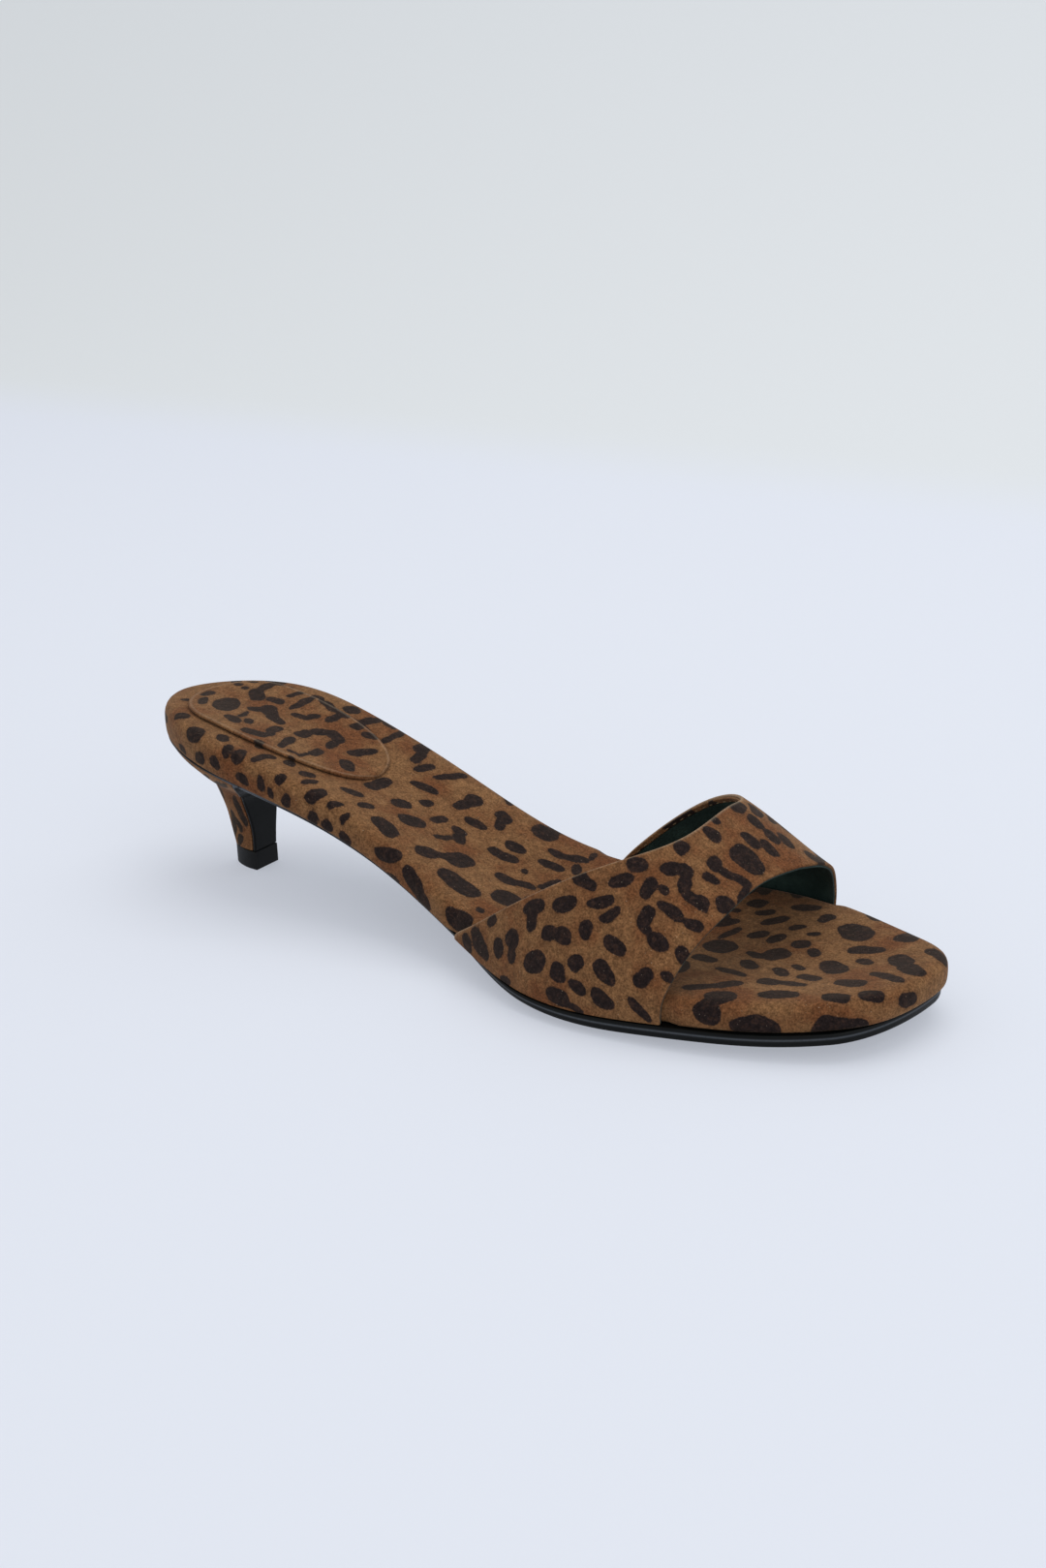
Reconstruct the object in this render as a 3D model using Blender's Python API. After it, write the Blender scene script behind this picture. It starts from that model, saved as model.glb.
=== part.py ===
"""A heeled mule for the right foot: outsole, covered heel, top piece, footbed, heel sock and vamp band.

The toe points along +X, the inner side of the foot is +Y and +Z is up. The shoe stands on the floor at
z = 0, and the origin lies on the floor under the middle of the shoe's box. Lengths are in metres.

Two surfaces carry the whole shape. The feather is the line where footbed and outsole meet, seen from the
side. The outline is the footbed seen from above, an outer and an inner half about a spine.
"""

from typing import NamedTuple

import bmesh
import bpy
import numpy as np

MM = 0.001

# Last
LENGTH = 250 * MM
HEEL_WIDTH = 56 * MM
WAIST_WIDTH = 52.5 * MM
BALL_WIDTH = 80 * MM
TOE_SWING = 6.5 * MM
SEAT_HEIGHT = 43.2 * MM
TREAD_HEIGHT = 5.3 * MM
TOE_SPRING = 4.6 * MM
HEEL_ROUND = 27 * MM
TOE_ROUND = 33 * MM

# Footbed
HEEL_BED = 9.7 * MM
TOE_BED = 7.4 * MM
BED_ROLL = 4.2 * MM
HEEL_DISH = 1.4 * MM
TOE_DISH = 2.2 * MM
BED_INSET = 0.3 * MM
BED_BLEND = 0.65
ROLL_DEEP = 0.7
ROLL_HIGH = 0.8
UNDER_ROLL = 0.35

# Outsole
SOLE_EDGE = 3.0 * MM
SHANK_EDGE = 1.1 * MM
SOLE_PROUD = 0.6 * MM
TOE_TUCK = 1.9 * MM
SOLE_CAMBER = 2.6 * MM
CAMBER_POWER = 0.75
TOE_FLATNESS = 0.7
SHANK_END = 0.49
TREAD_START = 0.62
TREAD_FULL = 0.74
TOE_TUCK_START = 0.94

# Heel and top piece
SEAT_LENGTH = 46 * MM
TIP_SETBACK = 18.3 * MM
TIP_LENGTH = 11.6 * MM
TIP_WIDTH = 9.6 * MM
TIP_SHIFT = 0.9 * MM
TOP_PIECE_HEIGHT = 6 * MM
SEAT_TURN = 3 * MM
SEAT_TUCK = 1.8 * MM

# Heel sock
SOCK_SETBACK = 11 * MM
SOCK_LENGTH = 65.4 * MM
SOCK_WIDTH = 37 * MM
SOCK_THICKNESS = 0.9 * MM
SOCK_SHOULDER = 42 * MM
SOCK_POINT = 3
SOCK_FULLNESS = 2.5

# Vamp band
VAMP_WALL = 1.5 * MM
VAMP_BULGE = 0.8 * MM
INSTEP_HEIGHT = 40.6 * MM
CREST_SHIFT = 7.7 * MM
OUTER_FULLNESS = 1.98
INNER_FULLNESS = 1.84
REAR_CREST = 188.5 * MM
REAR_OUTER = 126.5 * MM
REAR_INNER = 136.4 * MM
FRONT_CREST = 210.2 * MM
FRONT_OUTER = 196.3 * MM
FRONT_INNER = 204.5 * MM
REAR_OUTER_SWEEP = 3.75
REAR_INNER_SWEEP = 2.9
COVER_RUN = 5 * MM
BULGE_POWER = 6
UPRIGHT_SHARE = 0.06

# Clearance between neighbouring pieces
GAP = 0.3 * MM

# Fineness of the meshes
STATIONS = 64
BED_UNDER_COLUMNS = 4
BED_ROLL_COLUMNS = 9
BED_TOP_COLUMNS = 8
SOLE_STATIONS = 48
SOLE_COLUMNS = 7
BREAST_STATIONS = 26
BREAST_COLUMNS = 7
HEEL_COLUMNS = 13
BASE_RINGS = 2
SEAT_RINGS = 4
SOCK_STATIONS = 29
VAMP_COLUMNS = 49
VAMP_ROWS = 13
MERGE = 0.002 * MM
SHARP_ANGLE = 35


class OutlineRow(NamedTuple):
    """Half widths of the footbed at a share of the turn from heel point to toe point."""

    turn: float
    width: float
    outer: float
    inner: float


OUTLINE = (
    OutlineRow(1 / 12, HEEL_WIDTH, 0.200, 0.190),
    OutlineRow(2 / 12, HEEL_WIDTH, 0.384, 0.379),
    OutlineRow(3 / 12, HEEL_WIDTH, 0.509, 0.489),
    OutlineRow(4 / 12, WAIST_WIDTH, 0.520, 0.522),
    OutlineRow(5 / 12, WAIST_WIDTH, 0.478, 0.526),
    OutlineRow(6 / 12, WAIST_WIDTH, 0.592, 0.571),
    OutlineRow(7 / 12, BALL_WIDTH, 0.522, 0.458),
    OutlineRow(8 / 12, BALL_WIDTH, 0.516, 0.492),
    OutlineRow(9 / 12, BALL_WIDTH, 0.441, 0.428),
    OutlineRow(10 / 12, BALL_WIDTH, 0.328, 0.319),
    OutlineRow(11 / 12, BALL_WIDTH, 0.178, 0.216),
)


class FeatherRow(NamedTuple):
    """Height of the feather over its lowest level, as shares of the heel rise and of the toe spring."""

    along: float
    heel: float
    toe: float


FEATHER = (
    FeatherRow(0.0, 1.000, 0.0),
    FeatherRow(0.1, 0.977, 0.0),
    FeatherRow(0.2, 0.857, 0.0),
    FeatherRow(0.3, 0.659, 0.0),
    FeatherRow(0.4, 0.398, 0.0),
    FeatherRow(0.5, 0.148, 0.0),
    FeatherRow(0.6, 0.022, 0.0),
    FeatherRow(0.7, 0.000, 0.02),
    FeatherRow(0.8, 0.000, 0.26),
    FeatherRow(0.9, 0.000, 0.46),
    FeatherRow(1.0, 0.000, 1.0),
)


class BreastRow(NamedTuple):
    """One level of the heel: its rise from top piece to seat, and how far it has grown to the seat's form."""

    rise: float
    breast: float
    width: float
    back: float


BREAST = (
    BreastRow(0.00, 0.00, 0.00, 0.00),
    BreastRow(0.16, 0.02, 0.01, 0.08),
    BreastRow(0.31, 0.02, 0.05, 0.14),
    BreastRow(0.44, 0.00, 0.10, 0.23),
    BreastRow(0.53, 0.03, 0.17, 0.32),
    BreastRow(0.62, 0.23, 0.36, 0.43),
    BreastRow(0.71, 0.52, 0.58, 0.55),
    BreastRow(0.83, 0.81, 0.80, 0.74),
    BreastRow(0.92, 0.94, 0.93, 0.89),
    BreastRow(1.00, 1.00, 1.00, 1.00),
)


class InstepRow(NamedTuple):
    """Height of the vamp's crest over the feather, as a share of the instep height."""

    along: float
    height: float


INSTEP = (
    InstepRow(0.50, 0.49),
    InstepRow(0.56, 0.94),
    InstepRow(0.62, 1.165),
    InstepRow(0.70, 1.17),
    InstepRow(0.76, 1.00),
    InstepRow(0.82, 0.76),
    InstepRow(0.88, 0.59),
)


class FrontRow(NamedTuple):
    """Place of the vamp's front edge round the foot, as a share of the way from its side up to its crest."""

    around: float
    forward: float


FRONT_EDGE = (
    FrontRow(0.00, 0.000),
    FrontRow(0.05, 0.030),
    FrontRow(0.10, 0.144),
    FrontRow(0.20, 0.388),
    FrontRow(0.30, 0.619),
    FrontRow(0.40, 0.763),
    FrontRow(0.50, 1.000),
    FrontRow(0.60, 1.175),
    FrontRow(0.70, 1.018),
    FrontRow(0.80, 0.579),
    FrontRow(0.90, 0.193),
    FrontRow(0.95, 0.050),
    FrontRow(1.00, 0.000),
)


class SockRow(NamedTuple):
    """Thickness of the heel sock at a share of the way from its middle to its rim."""

    across: float
    height: float


SOCK_EDGE = (
    SockRow(0.00, 1.00),
    SockRow(0.25, 1.00),
    SockRow(0.50, 1.00),
    SockRow(0.75, 1.00),
    SockRow(0.90, 1.00),
    SockRow(0.97, 0.85),
    SockRow(1.00, 0.50),
)


class Finish(NamedTuple):
    """Colour and surface of one material."""

    colour: tuple[float, float, float]
    roughness: float


FINISHES = {
    "printed_suede": Finish((0.19, 0.095, 0.042), 0.95),
    "black_sole": Finish((0.012, 0.014, 0.017), 0.45),
    "black_rubber": Finish((0.015, 0.015, 0.017), 0.6),
}


def spline(knots, values, at):
    """A natural cubic curve through the knots, read at the given places."""
    knots, values = np.asarray(knots, float), np.asarray(values, float)
    step = np.diff(knots)
    slope = np.diff(values) / step
    system = np.eye(len(knots))
    bend = np.zeros(len(knots))
    for i in range(1, len(knots) - 1):
        system[i, i - 1 : i + 2] = step[i - 1], 2 * (step[i - 1] + step[i]), step[i]
        bend[i] = 6 * (slope[i] - slope[i - 1])
    bend = np.linalg.solve(system, bend)
    at = np.clip(at, knots[0], knots[-1])
    i = np.clip(np.searchsorted(knots, at, side="right") - 1, 0, len(step) - 1)
    left, right = at - knots[i], knots[i + 1] - at
    return (
        (bend[i] * right**3 + bend[i + 1] * left**3) / (6 * step[i])
        + (values[i] / step[i] - bend[i] * step[i] / 6) * right
        + (values[i + 1] / step[i] - bend[i + 1] * step[i] / 6) * left
    )


def smooth_step(share):
    """A soft change from 0 to 1."""
    share = np.clip(share, 0, 1)
    return share * share * (3 - 2 * share)


def place_of(turn):
    """The distance from the heel point at a share of the turn round the outline."""
    return LENGTH * (1 - np.cos(np.pi * turn)) / 2


def turn_of(x):
    """The share of the turn round the outline at a distance from the heel point."""
    return np.arccos(1 - 2 * np.clip(x / LENGTH, 0, 1)) / np.pi


def outline(turn, side):
    """The outline's distance to one side: side is -1 for the outer half and 1 for the inner half."""
    knots = [0, *(row.turn for row in OUTLINE), 1]
    outer = spline(knots, [0, *(-row.width * row.outer for row in OUTLINE), TOE_SWING], turn)
    inner = spline(knots, [0, *(row.width * row.inner for row in OUTLINE), TOE_SWING], turn)
    return np.where(np.asarray(side) < 0, outer, inner)


def spine(turn):
    """The line that the footbed's sections turn about, short of the outline at both ends."""
    x = np.clip(place_of(turn), HEEL_ROUND, LENGTH - TOE_ROUND)
    middle = (outline(turn_of(x), -1) + outline(turn_of(x), 1)) / 2
    return x, middle


def plan(turn, side, share, inset=0.0):
    """A point of the footbed seen from above: share is 0 on the spine and 1 on the outline less inset."""
    spine_x, spine_y = spine(turn)
    edge_x, edge_y = place_of(turn), outline(turn, side)
    reach = np.hypot(edge_x - spine_x, edge_y - spine_y)
    share = share * (1 - inset / reach)
    return spine_x + (edge_x - spine_x) * share, spine_y + (edge_y - spine_y) * share, reach


def feather(x):
    """The feather's height at a distance from the heel point."""
    along = [row.along for row in FEATHER]
    rise = spline(along, [row.heel for row in FEATHER], x / LENGTH)
    spring = spline(along, [row.toe for row in FEATHER], x / LENGTH)
    return TREAD_HEIGHT + (SEAT_HEIGHT - TREAD_HEIGHT) * rise + TOE_SPRING * spring


def bed_thickness(x):
    """The footbed's thickness at its rim."""
    return HEEL_BED + (TOE_BED - HEEL_BED) * smooth_step(x / (BED_BLEND * LENGTH))


def bed_top(x, depth, reach):
    """The height of the footbed's top, where depth is the distance in from its edge."""
    dish = HEEL_DISH + (TOE_DISH - HEEL_DISH) * smooth_step(x / LENGTH)
    hollow = smooth_step((depth - BED_ROLL) / (reach - BED_ROLL))
    return feather(x) + bed_thickness(x) - dish * hollow


def rear_edge(around):
    """How far forward the vamp's rear edge lies, round the foot from the outer to the inner feather."""
    lean = np.abs(np.cos(np.pi * around))
    outer_half = REAR_CREST - (REAR_CREST - REAR_OUTER) * lean**REAR_OUTER_SWEEP
    inner_half = REAR_CREST - (REAR_CREST - REAR_INNER) * lean**REAR_INNER_SWEEP
    return np.where(around < 0.5, outer_half, inner_half)


def front_edge(around):
    """How far forward the vamp's front edge lies, round the foot from the outer to the inner feather."""
    corners = [FRONT_OUTER if row.around < 0.5 else FRONT_INNER for row in FRONT_EDGE]
    places = [corner + (FRONT_CREST - corner) * row.forward for corner, row in zip(corners, FRONT_EDGE)]
    return spline([row.around for row in FRONT_EDGE], places, around)


def vamp_cover(x, side):
    """How fully the vamp covers the footbed's edge at a distance from the heel point, from 0 to 1."""
    rear = np.where(np.asarray(side) < 0, REAR_OUTER, REAR_INNER)
    front = np.where(np.asarray(side) < 0, FRONT_OUTER, FRONT_INNER)
    return smooth_step((x - rear) / COVER_RUN + 1) * smooth_step((front - x) / COVER_RUN + 1)


def vamp_surface(x, around):
    """The vamp's outer face: a half oval over the foot from the outer to the inner feather."""
    side = np.where(around < 0.5, -1, 1)
    along = [row.along for row in INSTEP]
    crest = INSTEP_HEIGHT * spline(along, [row.height for row in INSTEP], x / LENGTH)
    power = 2 / np.where(side < 0, OUTER_FULLNESS, INNER_FULLNESS)
    lean = np.abs(np.cos(np.pi * around)) ** power
    rise = np.sin(np.pi * around) ** power
    edge = outline(turn_of(x), side) + side * VAMP_BULGE * (1 - (1 - rise) ** BULGE_POWER)
    y = CREST_SHIFT + (edge - CREST_SHIFT) * lean
    return np.stack([x, y, feather(x) + crest * rise], axis=-1)


def grid_faces(rows, columns, offset=0, flip=False):
    """Quads of a grid of points that are numbered row by row."""
    index = offset + np.arange(rows * columns).reshape(rows, columns)
    quads = np.stack([index[:-1, :-1], index[:-1, 1:], index[1:, 1:], index[1:, :-1]], axis=-1)
    quads = quads.reshape(-1, 4)
    return quads[:, ::-1] if flip else quads


def make_object(name, points, faces, finish, root):
    """An object from points and quads, with doubled points joined and its faces turned outwards."""
    mesh = bpy.data.meshes.new(name)
    mesh.from_pydata(np.asarray(points).reshape(-1, 3).tolist(), [], [list(map(int, face)) for face in faces])
    body = bmesh.new()
    body.from_mesh(mesh)
    bmesh.ops.remove_doubles(body, verts=body.verts, dist=MERGE)
    bmesh.ops.recalc_face_normals(body, faces=body.faces)
    body.to_mesh(mesh)
    body.free()
    mesh.shade_smooth()
    mesh.set_sharp_from_angle(angle=np.radians(SHARP_ANGLE))
    mesh.materials.append(bpy.data.materials[finish])
    shape = bpy.data.objects.new(name, mesh)
    shape.parent = root
    bpy.context.scene.collection.objects.link(shape)
    return shape


def make_materials():
    """One material for each finish."""
    for name, finish in FINISHES.items():
        material = bpy.data.materials.new(name)
        material.use_nodes = True
        shader = material.node_tree.nodes["Principled BSDF"]
        shader.inputs["Base Color"].default_value = (*finish.colour, 1)
        shader.inputs["Roughness"].default_value = finish.roughness


def loop_solid(loops):
    """Points and quads of closed loops, one a station, that shrink to a line or a point at both ends."""
    loops = np.asarray(loops)
    rows, columns = loops.shape[:2]
    closed = np.concatenate([loops, loops[:, :1]], axis=1)
    return closed, grid_faces(rows, columns + 1)


def full_section(turn, half):
    """A closed section from its outer half and its inner half, each from the underside's middle to the top's."""
    outer, inner = half(turn, -1), half(turn, 1)
    return np.concatenate([outer, inner[::-1]])


def bed_half(turn, side):
    """Half a section of the footbed: flat underside, rolled edge, dished top."""
    under = np.linspace(0, 1, BED_UNDER_COLUMNS, endpoint=False)
    roll = np.radians(np.linspace(-90, 90, BED_ROLL_COLUMNS))
    over = np.linspace(1, 0, BED_TOP_COLUMNS, endpoint=False)[::-1]
    x_edge = place_of(turn)
    covered = (VAMP_WALL + GAP - BED_INSET) * vamp_cover(x_edge, side)
    inset = BED_INSET + covered
    _, _, reach = plan(turn, side, 1.0)
    thickness = bed_thickness(x_edge)
    roll_in = BED_ROLL * (1 - np.cos(roll) ** ROLL_DEEP)
    roll_up = (1 + np.sign(np.sin(roll)) * np.abs(np.sin(roll)) ** ROLL_HIGH) / 2
    # the underside turns up with a tighter roll than the top
    roll_in = np.where(roll < 0, roll_in * UNDER_ROLL, roll_in)
    depth = np.concatenate([
        reach + (inset + roll_in[0] - reach) * under,
        inset + roll_in,
        inset + BED_ROLL + (reach - inset - BED_ROLL) * over,
    ])
    x, y, _ = plan(turn, side, 1 - depth / reach)
    low = feather(x)
    top = bed_top(x, np.maximum(depth - inset, BED_ROLL), reach - inset)
    count = len(under)
    z = top.copy()
    z[:count] = low[:count]
    edge = slice(count, count + len(roll))
    z[edge] = low[edge] + (top[edge] - low[edge]) * roll_up
    return np.stack([x, y, z], axis=-1)


def make_footbed(root):
    """The wrapped footbed on which the foot stands."""
    loops = [full_section(turn, bed_half) for turn in np.linspace(0, 1, STATIONS + 1)]
    points, faces = loop_solid(loops)
    return make_object("footbed", points, faces, "printed_suede", root)


def heel_profile():
    """The heel's levels, smoothed: rise, breast place, half width and back place of each."""
    rise = np.linspace(0, 1, BREAST_STATIONS)
    rows = np.array(BREAST)
    forward, wide, rearward = (spline(rows[:, 0], rows[:, i], rise) for i in (1, 2, 3))
    tip_breast = TIP_SETBACK + TIP_LENGTH
    breast = tip_breast + (SEAT_LENGTH - tip_breast) * forward
    seat_half = (outline(turn_of(SEAT_LENGTH), 1) - outline(turn_of(SEAT_LENGTH), -1)) / 2
    half = TIP_WIDTH / 2 + (seat_half - TIP_WIDTH / 2) * wide
    back = TIP_SETBACK * (1 - rearward)
    return rise, breast, half, back


def breast_path():
    """The outsole's face down the heel's breast, seat first, with its normals and half widths.

    The outsole is as thick here as under the shank. The heel block lies behind it along the same path.
    """
    rise, breast, half, _ = heel_profile()
    floor = TOP_PIECE_HEIGHT + GAP
    seat = feather(breast) - GAP - SHANK_EDGE
    line = np.stack([breast, floor + (seat - floor) * rise], axis=-1)
    way = np.gradient(line, axis=0)
    way /= np.linalg.norm(way, axis=1, keepdims=True)
    normal = np.stack([way[:, 1], -way[:, 0]], axis=-1)
    return line, normal, half


def change(x, start, end):
    """A soft change from 0 to 1 between two shares of the shoe's length."""
    return smooth_step((x / LENGTH - start) / (end - start))


def sole_half(turn, side):
    """Half a section of the outsole's plate, from the middle of its underside to the middle of its top."""
    across = np.linspace(0, 1, SOLE_COLUMNS)
    x_edge = place_of(turn)
    proud = (SOLE_PROUD + SEAT_TUCK) * change(x_edge, SHANK_END, TREAD_START) - SEAT_TUCK
    proud = proud - (SOLE_PROUD + TOE_TUCK) * change(x_edge, TOE_TUCK_START, 1)
    edge = SHANK_EDGE + (SOLE_EDGE - SHANK_EDGE) * change(x_edge, SHANK_END, TREAD_FULL)
    camber = SOLE_CAMBER * change(x_edge, SHANK_END, TREAD_FULL)
    camber = camber * (1 - TOE_FLATNESS * change(x_edge, TREAD_FULL, 1))
    x, y, _ = plan(turn, side, across, inset=-proud)
    top = feather(x) - GAP
    under = np.maximum(top - edge - camber * (1 - across**2) ** CAMBER_POWER, 0)
    below = np.stack([x, y, under], axis=-1)
    above = np.stack([x, y, top], axis=-1)
    return np.concatenate([below, above[::-1]])


def flap_section(front, rear, half, middle):
    """A section of the outsole's flap down the heel's breast, with points in the order of the plate's."""
    across = np.linspace(0, 1, SOLE_COLUMNS)
    halves = []
    for side in (-1, 1):
        y = middle + side * half * across
        below = np.stack([np.full_like(y, front[0]), y, np.full_like(y, front[1])], axis=-1)
        above = np.stack([np.full_like(y, rear[0]), y, np.full_like(y, rear[1])], axis=-1)
        halves.append(np.concatenate([below, above[::-1]]))
    return np.concatenate([halves[0], halves[1][::-1]])


def make_outsole(root):
    """The outsole: a plate from the toe to the heel seat that turns down and covers the heel's breast."""
    start = turn_of(SEAT_LENGTH + SEAT_TURN)
    loops = [full_section(turn, sole_half) for turn in np.linspace(1, start, SOLE_STATIONS)]
    line, normal, half = breast_path()
    back = line - normal * SHANK_EDGE
    back[:, 1] = np.minimum(back[:, 1], feather(back[:, 0]) - GAP)
    grown = (half - half[0]) / (half[-1] - half[0])
    middle = TIP_SHIFT + (seat_middle() - TIP_SHIFT) * grown
    flap = [flap_section(*row) for row in zip(line, back, half - SEAT_TUCK * grown, middle)]
    loops.extend(reversed(flap))
    # the lower end closes onto the line between its front and its back
    loops.append(np.broadcast_to(flap[0].mean(axis=0), flap[0].shape))
    points, faces = loop_solid(loops)
    return make_object("outsole", points, faces, "black_sole", root)


def seat_middle():
    """The middle of the heel seat at the breast."""
    turn = turn_of(SEAT_LENGTH)
    return float(outline(turn, -1) + outline(turn, 1)) / 2


def heel_ring(front, middle, half, back):
    """A ring round the heel seen from above: straight across the breast, then round the back.

    The back has the form of the heel seat's outline, drawn in to the ring's own width and length.
    """
    turns = np.linspace(turn_of(SEAT_LENGTH), 0, HEEL_COLUMNS)
    share = 1 - place_of(turns) / SEAT_LENGTH
    inner = outline(turns, 1) / outline(turns[0], 1)
    outer = -outline(turns, -1) / outline(turns[0], -1)
    across = np.linspace(-1, 1, BREAST_COLUMNS + 2)[1:-1]
    x = front - (front - back) * np.concatenate([np.zeros_like(across), share, share[::-1]])
    y = middle + half * np.concatenate([across, inner, outer[::-1]])
    return x, y


def drawn_in(loop, share, height):
    """A loop drawn in towards its middle, at the height that a function gives."""
    middle = loop.mean(axis=0)
    inner = middle + (loop - middle) * share
    return np.stack([inner[:, 0], inner[:, 1], height(inner[:, 0])], axis=-1)


def make_heel(root):
    """The covered heel block, from the footbed's underside to the top piece."""
    line, normal, half = breast_path()
    back = heel_profile()[3]
    floor = TOP_PIECE_HEIGHT + GAP
    face = line - normal * (SHANK_EDGE + GAP)
    level = np.clip((face[:, 1] - floor) / (feather(face[:, 0]) - GAP - floor), 0, 1)
    level[0], level[-1] = 0, 1
    grown = (half - half[0]) / (half[-1] - half[0])
    middle = TIP_SHIFT + (seat_middle() - TIP_SHIFT) * grown
    loops = []
    for i in range(len(line)):
        tuck = SEAT_TUCK * grown[i]
        x, y = heel_ring(face[i, 0], middle[i], half[i] - tuck, back[i] + tuck)
        z = floor + (feather(x) - GAP - floor) * level[i]
        loops.append(np.stack([x, y, z], axis=-1))
    base_shares = np.linspace(0, 1, BASE_RINGS, endpoint=False)
    seat_shares = np.linspace(0, 1, SEAT_RINGS, endpoint=False)[::-1]
    base = [drawn_in(loops[0], share, lambda x: np.full_like(x, floor)) for share in base_shares]
    seat = [drawn_in(loops[-1], share, lambda x: feather(x) - GAP) for share in seat_shares]
    points, faces = loop_solid(base + loops + seat)
    return make_object("heel", points, faces, "printed_suede", root)


def make_top_piece(root):
    """The wearing piece under the heel, with its flat foot on the floor."""
    x, y = heel_ring(TIP_SETBACK + TIP_LENGTH, TIP_SHIFT, TIP_WIDTH / 2, TIP_SETBACK)
    foot = np.stack([x, y, np.zeros_like(x)], axis=-1)
    top = foot + [0, 0, TOP_PIECE_HEIGHT]
    below = drawn_in(foot, 0, np.zeros_like)
    above = drawn_in(top, 0, lambda x: np.full_like(x, TOP_PIECE_HEIGHT))
    points, faces = loop_solid([below, foot, top, above])
    return make_object("top_piece", points, faces, "black_rubber", root)


def sock_reach(turn, side):
    """How far the heel sock reaches from the spine, as a share of the outline's reach."""
    x = place_of(turn)
    _, _, reach = plan(turn, side, 1.0)
    round_back = HEEL_ROUND - SOCK_SETBACK
    run = np.clip((x - HEEL_ROUND) / (SOCK_LENGTH - round_back), 0, 1)
    half = SOCK_WIDTH / 2 * (1 - run**SOCK_POINT) ** (1 / SOCK_FULLNESS)
    ahead = smooth_step(x / SOCK_SHOULDER)
    return (round_back + (half - round_back) * ahead) / reach


def sock_half(turn, side):
    """Half a section of the heel sock, which follows the footbed's top."""
    across = np.array([row.across for row in SOCK_EDGE])
    fullness = np.array([row.height for row in SOCK_EDGE])
    x, y, reach = plan(turn, side, across * sock_reach(turn, side))
    depth = reach * (1 - across * sock_reach(turn, side)) - BED_INSET
    under = bed_top(x, depth, reach - BED_INSET) + GAP
    below = np.stack([x, y, under], axis=-1)
    above = np.stack([x, y, under + SOCK_THICKNESS * fullness], axis=-1)
    return np.concatenate([below, above[::-1]])


def make_heel_sock(root):
    """The oval heel sock, a thin raised pad on the footbed."""
    end = turn_of(SOCK_SETBACK + SOCK_LENGTH)
    # the stations crowd together towards the round front
    turns = end * np.sin(np.linspace(0, np.pi / 2, SOCK_STATIONS))
    loops = [full_section(turn, sock_half) for turn in turns]
    points, faces = loop_solid(loops)
    return make_object("heel_sock", points, faces, "printed_suede", root)


def make_vamp(root):
    """The vamp: one band of suede and lining over the foot, open at the back and at the toe."""
    around = np.linspace(0, 1, VAMP_COLUMNS)[None, :]
    along = np.linspace(0, 1, VAMP_ROWS)[:, None]
    x = rear_edge(around) + (front_edge(around) - rear_edge(around)) * along
    outer = vamp_surface(x, np.broadcast_to(around, x.shape))
    normal = np.cross(np.gradient(outer, axis=0), np.gradient(outer, axis=1))
    # the wall stands upright where it meets the sole
    normal[..., 2] *= smooth_step(np.minimum(around, 1 - around) / UPRIGHT_SHARE)
    normal /= np.linalg.norm(normal, axis=-1, keepdims=True)
    inner = outer - normal * VAMP_WALL
    rows, columns = x.shape
    count = rows * columns
    index = np.arange(count).reshape(x.shape)
    rim = np.concatenate([index[0], index[1:, -1], index[-1, -2::-1], index[-2:0:-1, 0]])
    nexts = np.roll(rim, -1)
    sides = np.stack([rim, nexts, nexts + count, rim + count], axis=-1)
    faces = np.concatenate([
        grid_faces(rows, columns),
        grid_faces(rows, columns, offset=count, flip=True),
        sides,
    ])
    points = np.concatenate([outer.reshape(-1, 3), inner.reshape(-1, 3)])
    return make_object("vamp", points, faces, "printed_suede", root)


def stand_over_origin(root):
    """Moves the shoe so that the origin lies on the floor under the middle of its box."""
    corners = np.concatenate([np.array([v.co for v in shape.data.vertices]) for shape in root.children])
    middle = (corners.min(axis=0) + corners.max(axis=0)) / 2
    root.location = (-middle[0], -middle[1], -corners[:, 2].min())


def main():
    """Builds the shoe in an empty scene."""
    for shape in list(bpy.data.objects):
        bpy.data.objects.remove(shape)
    make_materials()
    root = bpy.data.objects.new("mule", None)
    bpy.context.scene.collection.objects.link(root)
    make_outsole(root)
    make_heel(root)
    make_top_piece(root)
    make_footbed(root)
    make_heel_sock(root)
    make_vamp(root)
    stand_over_origin(root)


main()
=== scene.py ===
"""Looks of a heeled mule for the right foot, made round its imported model.

Lengths are in metres. The toe points along +X, the inner side of the foot is +Y and +Z is up. Every surface
is worked out in the frame of the last, whose origin lies on the floor under the back of the footbed, and is
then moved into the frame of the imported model.
"""

from __future__ import annotations

import logging
from dataclasses import dataclass
from enum import Enum, IntEnum
from typing import NamedTuple

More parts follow.
